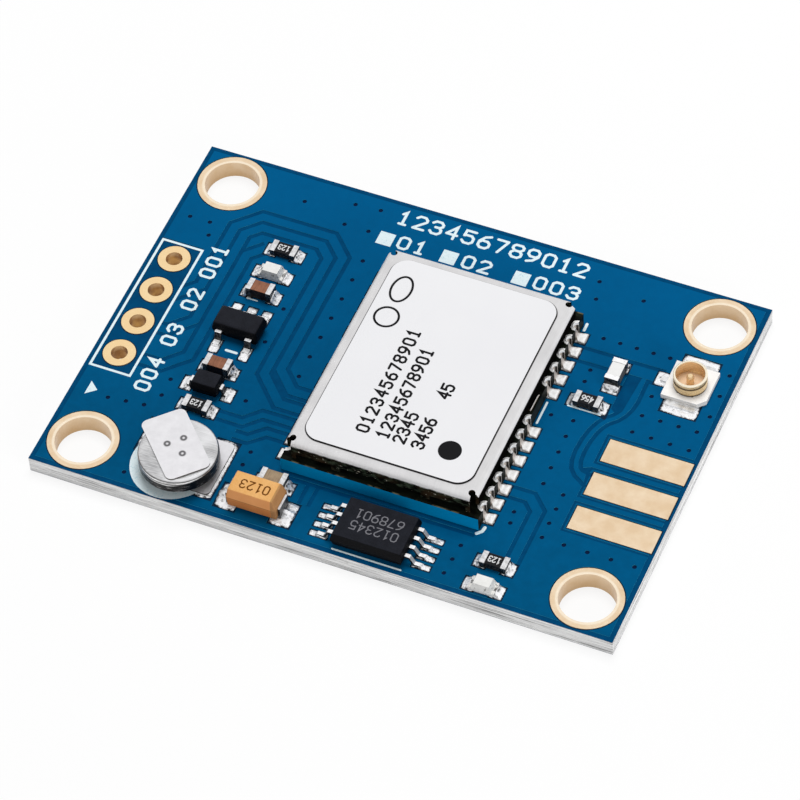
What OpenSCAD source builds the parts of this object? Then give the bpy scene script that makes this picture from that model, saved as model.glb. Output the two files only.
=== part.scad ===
// Satellite positioning module: a small circuit board that carries a shielded receiver,
// its backup cell, memory chip, supply parts, a coaxial antenna socket and edge pads.
// Origin: centre of the board's underside. X runs along the board, Y to the back, Z up.

/* [Board] */
// Length of the board along X
board_w = 36; // [34:0.1:44]
// Depth of the board along Y
board_d = 25.4; // [25:0.1:32]
// Thickness of the board, lacquer to lacquer
board_t = 1.2; // [0.8:0.1:2]
// Thickness of the lacquer over the copper, and of the copper lands beside it
mask_t = 0.05; // [0.04:0.01:0.1]
// Bare margin between a land and the lacquer around it
mask_gap = 0.07; // [0.04:0.01:0.12]
// Thickness of the solder on top of a land
solder_t = 0.03; // [0.02:0.01:0.08]

/* [Plated holes] */
// Diameter of a mounting hole inside its plating
hole_d = 3.3; // [3:0.1:3.6]
// Diameter of the gold ring around a mounting hole
ring_d = 4.2; // [4:0.1:4.6]
// Distance from the board's end to a mounting hole's centre
hole_inset_x = 2.4; // [2.3:0.1:3]
// Distance from the board's front or back to a mounting hole's centre
hole_inset_y = 2.3; // [2.3:0.1:3]
// Thickness of the plating in the holes
plating_t = 0.1; // [0.05:0.01:0.15]
// Distance between two header holes
header_pitch = 2.54; // [2.3:0.01:2.8]
// Diameter of a header hole inside its plating
header_hole_d = 1; // [0.8:0.05:1.2]
// Diameter of the gold ring around a header hole
header_ring_d = 1.95; // [1.6:0.05:2.1]
// Distance from the board's left end to the header's row
header_inset = 1.6; // [1.3:0.1:2]

/* [Antenna pads] */
// Length of an antenna pad along X
antenna_l = 5.1; // [4:0.1:5.4]
// Width of an antenna pad along Y
antenna_w = 1.65; // [1.4:0.05:1.9]
// Distance between two antenna pads
antenna_pitch = 2.54; // [2.3:0.01:2.8]
// Bare strip between an antenna pad and the board's end
antenna_setback = 0.2; // [0.1:0.05:0.5]
// Place of the middle antenna pad along Y
antenna_y = -2.9; // [-3.2:0.1:-2.6]

/* [Receiver] */
// Width of the receiver's own board along X
receiver_w = 12.2; // [11.6:0.1:12.6]
// Length of the receiver's own board along Y
receiver_d = 16; // [15.4:0.1:16.4]
// Thickness of the receiver's own board
receiver_board_t = 1; // [0.8:0.1:1.2]
// Height of the shield above the receiver's own board
shield_h = 1.37; // [1.2:0.01:1.6]
// Thickness of the shield's sheet
shield_wall = 0.2; // [0.12:0.02:0.3]
// Outer radius of the shield's bent edges
shield_bend = 0.4; // [0.32:0.02:0.5]
// Ledge between the shield and the ends of the receiver's board
shield_ledge = 0.3; // [0.2:0.05:0.5]
// Ledge between the shield and the soldered sides of the receiver's board
shield_side = 0.2; // [0.1:0.02:0.3]
// Radius of the round relief where two bends of the shield meet
shield_relief_r = 0.2; // [0.15:0.01:0.3]
// Height of the windows along the shield's lower edge
window_h = 0.4; // [0.3:0.05:0.5]
// Place of the receiver's centre along X
receiver_x = 2.05; // [1.8:0.05:2.3]
// Depth of the board's strip in front of the receiver
front_strip = 4.45; // [4.4:0.05:5]
// Distance between two solder terminals
terminal_pitch = 1.1; // [1:0.02:1.14]
// Distance from the receiver's end to its first terminal
terminal_end = 1; // [0.8:0.05:1.2]
// Radius of the half-round hole in a terminal
terminal_r = 0.22; // [0.18:0.02:0.26]
// Thickness of the plating in a terminal
terminal_plating_t = 0.05; // [0.03:0.01:0.08]
// Width of the gold rim around a terminal's half-round hole
terminal_rim_w = 0.12; // [0.08:0.01:0.16]
// Width of a terminal's land
terminal_land_w = 0.78; // [0.7:0.02:0.85]
// Reach of a terminal's land past the receiver
terminal_land_out = 0.6; // [0.5:0.05:0.8]
// Reach of a terminal's land under the receiver
terminal_land_in = 0.7; // [0.5:0.05:0.9]
// Side of the receiver's square main chip
inner_chip_w = 5; // [4:0.1:6]
// Height of the receiver's main chip
inner_chip_h = 0.85; // [0.6:0.05:0.95]
// Margin from the shield's long edges to its label
label_side = 0.75; // [0.6:0.05:0.95]
// Margin from the shield's short edges to its label
label_end = 0.65; // [0.55:0.05:1.2]
// Radius of the label's corners
label_r = 1; // [0.5:0.1:1.5]
// Thickness of the label
label_t = 0.1; // [0.04:0.01:0.12]

/* [Backup cell] */
// Diameter of the cell
cell_d = 4.7; // [4.2:0.1:5]
// Height of the cell without its tabs
cell_h = 1.4; // [1.2:0.1:1.6]
// Radius of the rounded shoulder of the cell's can
cell_shoulder = 0.25; // [0.15:0.05:0.35]
// Width of the strip welded across the cell
tab_w = 2.7; // [2.2:0.1:3]
// Thickness of the tabs
tab_t = 0.1; // [0.08:0.01:0.15]
// Reach of the welded strip past the edge of the cell
tab_reach = 0.32; // [0.25:0.01:0.45]
// Distance from the board's front edge to the cell's centre
cell_front = 2.6; // [2.5:0.05:2.8]
// Depth of the can's rim around the cap
crimp_w = 0.55; // [0.45:0.05:0.65]
// Height of the can's lower edge above the bottom tab
crimp_low = 0.25; // [0.2:0.05:0.35]
// Height of the cap inside the can
crimp_top = 0.6; // [0.5:0.05:0.7]
// Thickness of the seal between can and cap
seal_t = 0.15; // [0.1:0.01:0.2]
// Radius of the welded strip's corners
tab_r = 0.4; // [0.3:0.05:0.5]

/* [Tantalum capacitor] */
// Length of the capacitor over its terminals
tantalum_l = 3.4; // [3.2:0.1:3.6]
// Width of the capacitor
tantalum_w = 1.6; // [1.4:0.1:1.7]
// Height of the capacitor
tantalum_h = 1.6; // [1.3:0.1:1.8]

/* [Coaxial socket] */
// Side of the socket's square base
coax_base_w = 2.65; // [2.4:0.05:2.8]
// Thickness of the socket's base
coax_base_t = 0.35; // [0.3:0.05:0.45]
// Outer diameter of the socket's ring
coax_ring_d = 2; // [1.8:0.05:2.1]
// Height of the socket's ring above the base
coax_ring_h = 0.9; // [0.7:0.05:1]
// Wall of the socket's ring
coax_wall = 0.13; // [0.1:0.01:0.18]
// Diameter of the socket's centre pin
coax_pin_d = 0.45; // [0.35:0.05:0.55]
// Distance from the board's right end to the socket's centre
coax_inset = 2.4; // [2.2:0.1:2.6]
// Distance from the board's back edge to the socket's centre
coax_back = 7.1; // [7:0.05:7.4]
// Width of the legs that carry the ring through the base
coax_leg_w = 1; // [0.8:0.05:1.2]
// Width of the ring's feet on the board
coax_foot_w = 1.8; // [1.6:0.05:2]
// Reach of the ring's feet past the base
coax_foot_out = 0.4; // [0.3:0.05:0.5]
// Thickness of the feet and of the pin's tail
coax_foot_t = 0.12; // [0.1:0.01:0.16]
// Cut across the base's marked corner
coax_corner = 0.45; // [0.3:0.05:0.6]

/* [Memory chip] */
// Width of the chip's moulding between its rows of leads
memory_w = 4.4; // [4:0.1:4.6]
// Length of the chip's moulding along its rows of leads
memory_l = 3; // [2.8:0.1:3.2]
// Height of the chip's moulding
memory_h = 1; // [0.8:0.05:1.2]
// Distance between two of the chip's leads
memory_pitch = 0.65; // [0.6:0.01:0.7]
// Width over the tips of the chip's leads
memory_span = 6.4; // [6.2:0.1:6.8]

/* [Regulator] */
// Length of the regulator's moulding along its rows of leads
regulator_l = 2.9; // [2.7:0.1:3.1]
// Width of the regulator's moulding
regulator_w = 1.6; // [1.5:0.05:1.7]
// Height of the regulator's moulding
regulator_h = 1.1; // [0.9:0.05:1.2]
// Distance between two of the regulator's leads
regulator_pitch = 0.95; // [0.9:0.01:1]
// Width over the tips of the regulator's leads
regulator_span = 2.9; // [2.7:0.1:3.1]

/* [Diode] */
// Length of the diode's moulding
diode_l = 1.7; // [1.5:0.05:1.8]
// Width of the diode's moulding
diode_w = 1.25; // [1.1:0.05:1.3]
// Height of the diode's moulding
diode_h = 0.95; // [0.8:0.05:1.1]
// Length over the tips of the diode's leads
diode_span = 2.5; // [2.3:0.05:2.7]

/* [Chip parts] */
// Length of a resistor, capacitor, inductor or lamp chip
chip_l = 1.6; // [1.5:0.05:1.7]
// Width of such a chip
chip_w = 0.85; // [0.7:0.05:0.95]
// Height of a resistor chip
resistor_h = 0.5; // [0.4:0.05:0.6]
// Height of a capacitor or inductor chip
capacitor_h = 0.8; // [0.7:0.05:0.95]
// Length of a chip's metal end
end_l = 0.32; // [0.25:0.01:0.4]
// Thickness of a chip's metal end
end_t = 0.03; // [0.02:0.01:0.05]
// Thickness of a lamp chip's carrier
lamp_base_t = 0.28; // [0.2:0.02:0.36]
// Height of a lamp chip's lens above its carrier
lamp_lens_h = 0.4; // [0.3:0.05:0.5]
// Length of the bare ends of a lamp chip's carrier, past its lens
lamp_end_l = 0.16; // [0.12:0.02:0.3]
// Slope of a lamp chip's lens, from its foot to its top
lamp_draft = 0.16; // [0.1:0.02:0.2]
// Reach of a chip's solder land past the chip's end
land_reach = 0.42; // [0.3:0.02:0.5]

/* [Leads and lands] */
// Thickness of the lead frames
lead_t = 0.15; // [0.1:0.01:0.18]
// Length of a lead's foot
foot_l = 0.45; // [0.35:0.05:0.5]
// Slope of the mouldings' sides, as an inset from the middle to the top
draft = 0.12; // [0.08:0.01:0.16]
// Width of the memory chip's leads
lead_w = 0.25; // [0.2:0.01:0.3]
// Width of the regulator's and the diode's leads
wide_lead_w = 0.4; // [0.3:0.02:0.5]
// Reach of a land past the tip of its lead
lead_land_out = 0.5; // [0.4:0.05:0.6]
// Gap between a moulding and the board
standoff = 0.08; // [0.05:0.01:0.12]

/* [Places] */
// Distance from the header's row to the column of small parts
column_offset = 6; // [5.8:0.05:6.3]
// Distance from the board's front edge to the front resistor of the column
column_front = 6.75; // [6.7:0.05:7.2]
// Distance from that resistor to the diode
diode_step = 1.5; // [1.45:0.05:1.8]
// Distance from the diode to the capacitor behind it
rear_capacitor_step = 1.5; // [1.45:0.05:1.8]
// Distance from that capacitor to the regulator
regulator_step = 3.05; // [3:0.05:3.4]
// Distance from the regulator to the capacitor behind it
capacitor_step = 3; // [2.95:0.05:3.4]
// Distance from that capacitor to the lamp chip
lamp_step = 1.62; // [1.5:0.02:1.9]
// Distance from the lamp chip to the back resistor of the column
resistor_step = 1.78; // [1.6:0.02:2]
// Distance from the column to the cell's centre along X
cell_offset = 0.85; // [0.7:0.05:1]
// Distance from the cell to the tantalum capacitor along X
tantalum_offset = 5.25; // [5.1:0.05:5.6]
// Distance from the board's front edge to the tantalum capacitor
tantalum_front = 1.7; // [1.6:0.05:1.9]
// Distance from the tantalum capacitor to the capacitor chip behind it
tantalum_step = 1.6; // [1.5:0.05:1.8]
// Distance from the tantalum capacitor to the memory chip along X
memory_offset = 7.25; // [7:0.05:7.6]
// Distance from the board's front edge to the memory chip
memory_front = 1.95; // [1.8:0.05:2.2]
// Distance from the receiver to the front resistor and lamp along X
front_pair_out = 1.78; // [1.6:0.02:2]
// Distance from the board's front edge to the front lamp
front_lamp = 0.87; // [0.8:0.01:1]
// Distance from the front lamp to the front resistor
front_pair_step = 1.68; // [1.5:0.02:1.9]
// Distance from the receiver to the inductor along X
inductor_out = 3.2; // [3:0.05:3.5]
// Distance from the socket's centre line forward to the inductor
inductor_step = 0.85; // [0.7:0.05:1]
// Distance from the receiver to the side resistor along X
side_resistor_out = 2.4; // [2.2:0.05:2.7]
// Distance from the socket's centre line forward to the side resistor
side_resistor_step = 3.25; // [3.1:0.05:3.5]

/* [Copper pattern] */
// Width of the clearance cut along a copper track
track_gap = 0.26; // [0.2:0.01:0.3]
// Depth of the clearance seen through the lacquer
track_depth = 0.03; // [0.02:0.005:0.035]
// Width of a wide copper track
wide_track_w = 0.52; // [0.45:0.01:0.6]
// Width of a narrow copper track
narrow_track_w = 0.36; // [0.3:0.01:0.42]
// Width of the antenna's track to the socket
signal_track_w = 0.76; // [0.7:0.01:0.9]
// Width of the bare field beside the antenna's track
bare_w = 0.7; // [0.5:0.05:0.8]
// Depth of a via seen through the lacquer
via_depth = 0.045; // [0.04:0.001:0.047]
// Diameter of a lacquered via
via_d = 0.27; // [0.2:0.01:0.32]
// Distance from the board's edge to the copper field
copper_inset = 0.3; // [0.2:0.05:0.5]
// Width of the bare field around the header's rings
header_field = 0.35; // [0.25:0.05:0.5]
// Distance from an antenna pad to the copper around it
antenna_field = 0.3; // [0.25:0.01:0.4]

/* [Hidden] */
$fn = 48;
far = 100;
bit = 0.01;

// Levels
core_low = mask_t;
core_top = board_t - mask_t;
top_z = board_t;
seat_z = top_z + solder_t;

// Reference lines on the board
left_x = -board_w / 2;
right_x = board_w / 2;
front_y = -board_d / 2;
hole_x = board_w / 2 - hole_inset_x;
back_y = board_d / 2;
hole_y = back_y - hole_inset_y;
holes = [[-hole_x, hole_y], [hole_x, hole_y], [hole_x, -hole_y], [-hole_x, -hole_y]];
header_x = left_x + header_inset;
header = [for (i = [0:3]) [header_x, (i - 1.5) * header_pitch]];
column_x = header_x + column_offset;
antenna_x = right_x - antenna_setback - antenna_l / 2;
coax_at = [right_x - coax_inset, back_y - coax_back];

// Receiver: seven terminals at the front of each side, and five at the back
receiver_left = receiver_x - receiver_w / 2;
receiver_right = receiver_x + receiver_w / 2;
receiver_front = front_y + front_strip;
receiver_back = receiver_front + receiver_d;
receiver_y = (receiver_front + receiver_back) / 2;
receiver_top = seat_z + receiver_board_t;
front_terminals = [for (i = [0:6]) receiver_front + terminal_end + i * terminal_pitch];
back_terminals = [for (i = [0:4]) receiver_back - terminal_end - i * terminal_pitch];
terminals = concat(front_terminals, back_terminals);
terminal_rim = terminal_r + terminal_plating_t + terminal_rim_w;
shield_w = receiver_w - 2 * shield_side;
shield_d = receiver_d - 2 * shield_ledge;
shield_top = receiver_top + shield_h;

// Places of the parts, counted from the board's front edge and from each other
cell_at = [column_x + cell_offset, front_y + cell_front];
cell_low = seat_z + tab_t;
cell_top = cell_low + cell_h;
tantalum_at = [cell_at.x + tantalum_offset, front_y + tantalum_front];
memory_at = [tantalum_at.x + memory_offset, front_y + memory_front];
front_resistor_y = front_y + column_front;
diode_at = [column_x, front_resistor_y + diode_step];
rear_capacitor_y = diode_at.y + rear_capacitor_step;
regulator_at = [column_x, rear_capacitor_y + regulator_step];
capacitor_y = regulator_at.y + capacitor_step;
lamp_y = capacitor_y + lamp_step;
pair_x = receiver_right + front_pair_out;
resistors = [
    [column_x, lamp_y + resistor_step],
    [column_x, front_resistor_y],
    [receiver_right + side_resistor_out, coax_at.y - side_resistor_step],
    [pair_x, front_y + front_lamp + front_pair_step]
];
capacitors = [
    [column_x, capacitor_y],
    [column_x, rear_capacitor_y],
    [tantalum_at.x + end_l, tantalum_at.y + tantalum_step]
];
inductor_at = [receiver_right + inductor_out, coax_at.y - inductor_step];
lamps = [
    [column_x, lamp_y],
    [pair_x, front_y + front_lamp]
];

// Solder lands: place and size of each tinned rectangle
chip_land_l = land_reach + end_l;
chip_land_x = chip_l / 2 + land_reach - chip_land_l / 2;
memory_land_l = foot_l + 0.65;
regulator_land_l = foot_l + 0.6;
diode_land = [0.68, 1];
tantalum_land = [1.3, tantalum_w + 0.15];
cell_left_land = [1.9, 2.45];
cell_right_land = [1.4, 4.25];
cell_left_at = cell_at + [0.3 - cell_d / 2, 1.4];
cell_right_at = cell_at + [cell_d / 2 - 0.45, 0.5];
coax_ground_land = [2.2, 1.05];
coax_signal_land = [0.75, 1];
coax_ground_y = coax_base_w / 2 + 0.35;
coax_signal_x = -coax_base_w / 2 - 0.4;

function chip_lands(at) = [for (s = [-1, 1]) [at + [s * chip_land_x, 0], [chip_land_l, chip_w + 0.05]]];
function turned_lands(at) = [for (s = [-1, 1]) [at + [0, s * chip_land_x], [chip_w + 0.15, chip_land_l]]];
function row(count, pitch) = [for (i = [0:count - 1]) (i - (count - 1) / 2) * pitch];

receiver_lands = [
    for (y = terminals)
        for (s = [-1, 1])
            [
                [receiver_x + s * (receiver_w + terminal_land_out - terminal_land_in) / 2, y],
                [terminal_land_out + terminal_land_in, terminal_land_w]
            ]
];
memory_lands = [
    for (y = row(4, memory_pitch))
        for (s = [-1, 1])
            [
                memory_at + [s * (memory_span / 2 + lead_land_out - memory_land_l / 2), y],
                [memory_land_l, lead_w + 0.12]
            ]
];
regulator_back = row(3, regulator_pitch);
regulator_front = [regulator_back[0], regulator_back[2]];
function regulator_lands(xs, s) = [
    for (x = xs)
        [
            regulator_at + [x, s * (regulator_span / 2 + lead_land_out - regulator_land_l / 2)],
            [wide_lead_w + 0.18, regulator_land_l]
        ]
];
pair_lands = concat(
    [for (s = [-1, 1]) [diode_at + [s * (diode_span / 2 + 0.05), 0], diode_land]],
    [for (s = [-1, 1]) [tantalum_at + [s * tantalum_l / 2, -0.12], tantalum_land]]
);
cell_lands = [[cell_left_at, cell_left_land], [cell_right_at, cell_right_land]];
coax_lands = [
    [coax_at + [0, coax_ground_y], coax_ground_land],
    [coax_at - [0, coax_ground_y], coax_ground_land],
    [coax_at + [coax_signal_x, 0], coax_signal_land]
];
lands = concat(
    receiver_lands,
    memory_lands,
    regulator_lands(regulator_back, 1),
    regulator_lands(regulator_front, -1),
    pair_lands,
    cell_lands,
    coax_lands,
    turned_lands(inductor_at),
    [for (at = concat(resistors, capacitors, lamps)) each chip_lands(at)]
);
antenna_pads = [for (i = [-1:1]) [antenna_x, antenna_y + i * antenna_pitch]];

// Copper tracks: each a centre line and a width. Those of the supply column nest inside each other.
loop_step = wide_track_w + track_gap;
loop_cut = 1.25;
parallel_cut = loop_step * (2 - sqrt(2));
loop_right = receiver_left - 3;
loop_back = resistors[0].y + 2.15;
function loop_track(i, y, out_y) =
    let (x0 = header_x + 2.35 + i * loop_step)
    let (x1 = loop_right - i * loop_step)
    let (y1 = loop_back - i * loop_step)
    let (cut = loop_cut - i * parallel_cut)
    [
        [header_x, y],
        [x0 - loop_cut, y],
        [x0, y + loop_cut],
        [x0, y1 - cut],
        [x0 + cut, y1],
        [x1 - cut, y1],
        [x1, y1 - cut],
        [x1, out_y + loop_cut + i * parallel_cut],
        [x1 + loop_cut + i * parallel_cut, out_y],
        [receiver_left, out_y]
    ];
supply_x = column_x - 2.1;
signal_x = coax_at.x - 2.75;
// Cuts every corner of a path, so that two passes turn its bends into curves
function eased(path) = concat(
    [path[0]],
    [
        for (i = [0:len(path) - 2])
            each [path[i] * 0.75 + path[i + 1] * 0.25, path[i] * 0.25 + path[i + 1] * 0.75]
    ],
    [path[len(path) - 1]]
);
tracks = [
    [loop_track(0, header[2].y, front_terminals[4]), wide_track_w],
    [loop_track(1, header[1].y, front_terminals[3]), wide_track_w],
    [
        [
            header[0],
            [supply_x - 1.2, header[0].y],
            [supply_x, header[0].y + 1.2],
            [supply_x, resistors[0].y - 0.9],
            [supply_x + 0.9, resistors[0].y]
        ],
        wide_track_w
    ],
    [
        [
            resistors[1],
            [receiver_left - 3.5, resistors[1].y],
            [receiver_left - 2.6, front_terminals[2]],
            [receiver_left, front_terminals[2]]
        ],
        narrow_track_w
    ],
    [
        [
            [cell_right_at.x, resistors[1].y - 1],
            [receiver_left - 2.75, resistors[1].y - 1],
            [receiver_left - 1.85, front_terminals[1]],
            [receiver_left, front_terminals[1]]
        ],
        narrow_track_w
    ],
    [
        [
            [receiver_right, back_terminals[1]],
            [coax_at.x + coax_signal_x, back_terminals[1]]
        ],
        signal_track_w
    ],
    [
        eased(eased([
            [signal_x, back_terminals[1] - 0.4],
            [signal_x, resistors[2].y + 0.4],
            [coax_at.x - 3.9, resistors[2].y - 1.1],
            [coax_at.x - 3.9, antenna_y + 0.7],
            [antenna_x - antenna_l / 2 + 0.1, antenna_y]
        ])),
        wide_track_w
    ],
    [
        [
            [receiver_right, front_terminals[2]],
            [resistors[3].x + 0.05, front_terminals[2]],
            [resistors[3].x + 0.8, front_terminals[2] - 0.75],
            [resistors[3].x + 0.8, resistors[3].y]
        ],
        wide_track_w
    ]
];
split_y = receiver_front - 0.4;
splits = [
    [[receiver_left - 1.2, split_y], [receiver_right - 0.1, split_y]],
    [[memory_at.x - 5.1, split_y], [memory_at.x - 5.1, split_y - 1.5]],
    [[memory_at.x - 4.5, split_y], [memory_at.x - 4.5, split_y - 1.5]]
];

// Vias: rows between two points, and single ones, each beside the part that it serves
via_rows = [
    [[receiver_left - 1.8, lamp_y + 2.9], [receiver_left - 1.8, diode_at.y + 2.75], 7],
    [[receiver_right + 1.45, coax_at.y + 1.6], [receiver_right + 5.6, coax_at.y + 1.6], 5],
    [[right_x - 4.25, coax_at.y - 2.9], [right_x - 0.9, coax_at.y - 2.9], 4],
    [[right_x - 4.35, coax_at.y - 4.2], [right_x - 0.85, coax_at.y - 4.3], 4],
    [[right_x - 0.6, coax_at.y + 1.6], [right_x - 0.6, coax_at.y - 1.6], 3],
    [[receiver_right + 2.05, antenna_y + 3.85], [receiver_right + 2.15, antenna_y - 0.95], 5],
    [[right_x - 6.35, antenna_y - 1.3], [right_x - 6.35, antenna_y - 4.5], 4],
    [[right_x - 5, antenna_y - 4.55], [right_x - 0.75, antenna_y - 4.55], 4],
    [[memory_at.x + 4.65, memory_at.y + 1.2], [memory_at.x + 4.5, memory_at.y - 0.9], 3],
    [[header_x - 0.5, header[3].y + 3.35], [header_x + 0.8, header[3].y + 3.35], 2],
    [[header_x + 0.8, header[0].y - 3.25], [header_x + 3, header[0].y - 3], 3]
];
via_singles = [
    [column_x - 0.55, back_y - 2.05],
    [column_x + 2.4, back_y - 1.2],
    [column_x + 4, back_y - 1.1],
    [column_x + 2.4, back_y - 2.85],
    [column_x + 3.95, back_y - 2.85],
    [header_x + 1.15, header[3].y + 2.4],
    [column_x + 1.65, regulator_at.y + 2.5],
    [column_x + 1.65, regulator_at.y - 0.15],
    [column_x - 2.35, diode_at.y - 0.1],
    [column_x - 2.35, diode_at.y - 1.35],
    [column_x + 2.4, diode_at.y],
    [cell_at.x + 3.35, cell_at.y + 2.35],
    [cell_at.x + 3.3, cell_at.y + 1.35],
    [cell_at.x - 2.85, cell_at.y - 1.55],
    [receiver_right - 0.35, back_y - 1.6],
    [receiver_right - 0.05, back_y - 2.9],
    [receiver_right + 2.6, back_y - 2.05],
    [receiver_right + 1.6, inductor_at.y],
    [receiver_right + 1.6, inductor_at.y - 0.9],
    [receiver_right + 0.7, resistors[2].y - 1.45],
    [coax_at.x - 1.85, coax_at.y - 1.4],
    [receiver_right + 1.35, receiver_front + 1.95],
    [receiver_right + 1.45, receiver_front + 1.15]
];
function between(a, b, n) = [for (i = [0:n - 1]) a + (b - a) * i / (n - 1)];
vias = concat([for (r = via_rows) each between(r[0], r[1], r[2])], via_singles);

numbered = [for (i = [1:4]) i];

// Shapes shared by several pieces
function unit(v) = v / norm(v);
function left_of(v) = [-v.y, v.x];
function corner(path, i, half) =
    let (last = len(path) - 1)
    let (ahead = left_of(unit(path[min(i + 1, last)] - path[min(i, last - 1)])))
    let (behind = i == 0 ? ahead : left_of(unit(path[i] - path[i - 1])))
    let (middle = unit(ahead + behind))
    path[i] + middle * half / (middle * behind);
function outline(path, width) = concat(
    [for (i = [0:len(path) - 1]) corner(path, i, width / 2)],
    [for (i = [len(path) - 1:-1:0]) corner(path, i, -width / 2)]
);

module stroke(path, width) {
    polygon(outline(path, width));
}

module rounded(size, r) {
    square([size.x - 2 * r, size.y], center = true);
    square([size.x, size.y - 2 * r], center = true);
    for (sx = [-1, 1])
        for (sy = [-1, 1])
            translate([sx * (size.x / 2 - r), sy * (size.y / 2 - r)])
                circle(r);
}

module block(size, z) {
    translate([0, 0, z + size.z / 2])
        cube(size, center = true);
}

// A profile drawn in X and Z, carried along Y and centred there
module along_y(length) {
    rotate([90, 0, 0])
        linear_extrude(length, center = true)
            children();
}

// Solder that climbs a metal face: run out over the land, rise up the face
module climb(width, run, rise) {
    along_y(width)
        polygon([[0, -bit], [run, -bit], [run, 0], [run * 0.35, rise * 0.3], [0, rise]]);
}

module both_ends() {
    for (turn = [0, 180])
        rotate(turn)
            children();
}

// A moulded body: widest along the band where the leads leave it
module moulding(size, z) {
    inner = [size.x - 2 * draft, size.y - 2 * draft, bit];
    hull() {
        block(inner, z);
        block([size.x, size.y, lead_t], z + size.z / 2 - lead_t / 2);
        block(inner, z + size.z - bit);
    }
}

// A bent lead that leaves a body's side at the given height and ends in a flat foot
module lead(width, reach, foot, height) {
    bend = (reach - foot) / 2;
    along_y(width)
        stroke([[0, height], [bend, height], [2 * bend, lead_t / 2], [reach, lead_t / 2]], lead_t);
}

// Board: laminate with the lacquer films on both faces
module hole_shapes(grow) {
    for (at = holes)
        translate(at)
            circle(d = hole_d + 2 * grow);
    for (at = header)
        translate(at)
            circle(d = header_hole_d + 2 * grow);
}

module ring_shapes(grow) {
    for (at = holes)
        translate(at)
            circle(d = ring_d + 2 * grow);
    for (at = header)
        translate(at)
            circle(d = header_ring_d + 2 * grow);
}

module land_shapes(grow) {
    for (land = lands)
        translate(land[0])
            square(land[1] + 2 * grow * [1, 1], center = true);
}

module antenna_shapes(grow, pads) {
    for (at = pads)
        translate(at)
            square([antenna_l + 2 * grow, antenna_w + 2 * grow], center = true);
}

module edge_relief() {
    difference() {
        square([board_w, board_d], center = true);
        square([board_w - 2 * copper_inset, board_d - 2 * copper_inset], center = true);
    }
}

module via_relief() {
    for (at = vias)
        translate(at)
            circle(d = via_d);
}

module header_relief() {
    square_w = header_ring_d + 2 * header_field;
    translate([header_x, 0])
        square([square_w, 3 * header_pitch + square_w], center = true);
}

module antenna_relief() {
    difference() {
        antenna_shapes(antenna_field, antenna_pads);
        antenna_shapes(antenna_field / 2, antenna_pads);
    }
}

module side_relief() {
    right = signal_x - wide_track_w / 2;
    back = back_terminals[1] - signal_track_w / 2;
    front = resistors[2].y + 0.2;
    translate([right - bare_w, front])
        square([bare_w, back - front]);
}

module track_relief() {
    difference() {
        union()
            for (track = tracks)
                stroke(track[0], track[1] + 2 * track_gap);
        union()
            for (track = tracks)
                stroke(track[0], track[1]);
    }
    for (split = splits)
        stroke(split, track_gap);
}

module laminate() {
    color("#b9bfae")
        translate([0, 0, core_low])
            linear_extrude(core_top - core_low)
                difference() {
                    square([board_w, board_d], center = true);
                    hole_shapes(plating_t);
                }
}

module solder_mask_top() {
    color("#0b5a94")
        translate([0, 0, core_top])
            difference() {
                linear_extrude(mask_t)
                    difference() {
                        square([board_w, board_d], center = true);
                        ring_shapes(mask_gap);
                        land_shapes(mask_gap);
                        antenna_shapes(mask_gap, antenna_pads);
                    }
                translate([0, 0, mask_t - track_depth])
                    linear_extrude(mask_t) {
                        edge_relief();
                        header_relief();
                        antenna_relief();
                        track_relief();
                        side_relief();
                    }
                translate([0, 0, mask_t - via_depth])
                    linear_extrude(mask_t)
                        via_relief();
            }
}

module solder_mask_bottom() {
    color("#0b5a94")
        difference() {
            linear_extrude(mask_t)
                difference() {
                    square([board_w, board_d], center = true);
                    ring_shapes(mask_gap);
                    antenna_shapes(mask_gap, [antenna_pads[0], antenna_pads[2]]);
                }
            translate([0, 0, track_depth - mask_t])
                linear_extrude(mask_t)
                    edge_relief();
            translate([0, 0, via_depth - mask_t])
                linear_extrude(mask_t)
                    via_relief();
        }
}

// Plated holes: a barrel with a flat ring on each face
module eyelet(bore, ring) {
    color("#e6c794")
        rotate_extrude()
            polygon([
                [bore / 2, 0],
                [ring / 2, 0],
                [ring / 2, mask_t],
                [bore / 2 + plating_t, mask_t],
                [bore / 2 + plating_t, core_top],
                [ring / 2, core_top],
                [ring / 2, top_z],
                [bore / 2, top_z]
            ]);
}

module corner_eyelet(i) {
    translate(holes[i - 1])
        eyelet(hole_d, ring_d);
}

module header_eyelet(i) {
    translate(header[i - 1])
        eyelet(header_hole_d, header_ring_d);
}

// Antenna pads: gold plated copper, the outer two on both faces
module antenna_signal_pad() {
    color("#e6c794")
        translate([0, 0, core_top])
            linear_extrude(mask_t)
                antenna_shapes(0, [antenna_pads[1]]);
}

module antenna_ground_pads() {
    color("#e6c794")
        for (z = [0, core_top])
            translate([0, 0, z])
                linear_extrude(mask_t)
                    antenna_shapes(0, [antenna_pads[0], antenna_pads[2]]);
}

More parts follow.
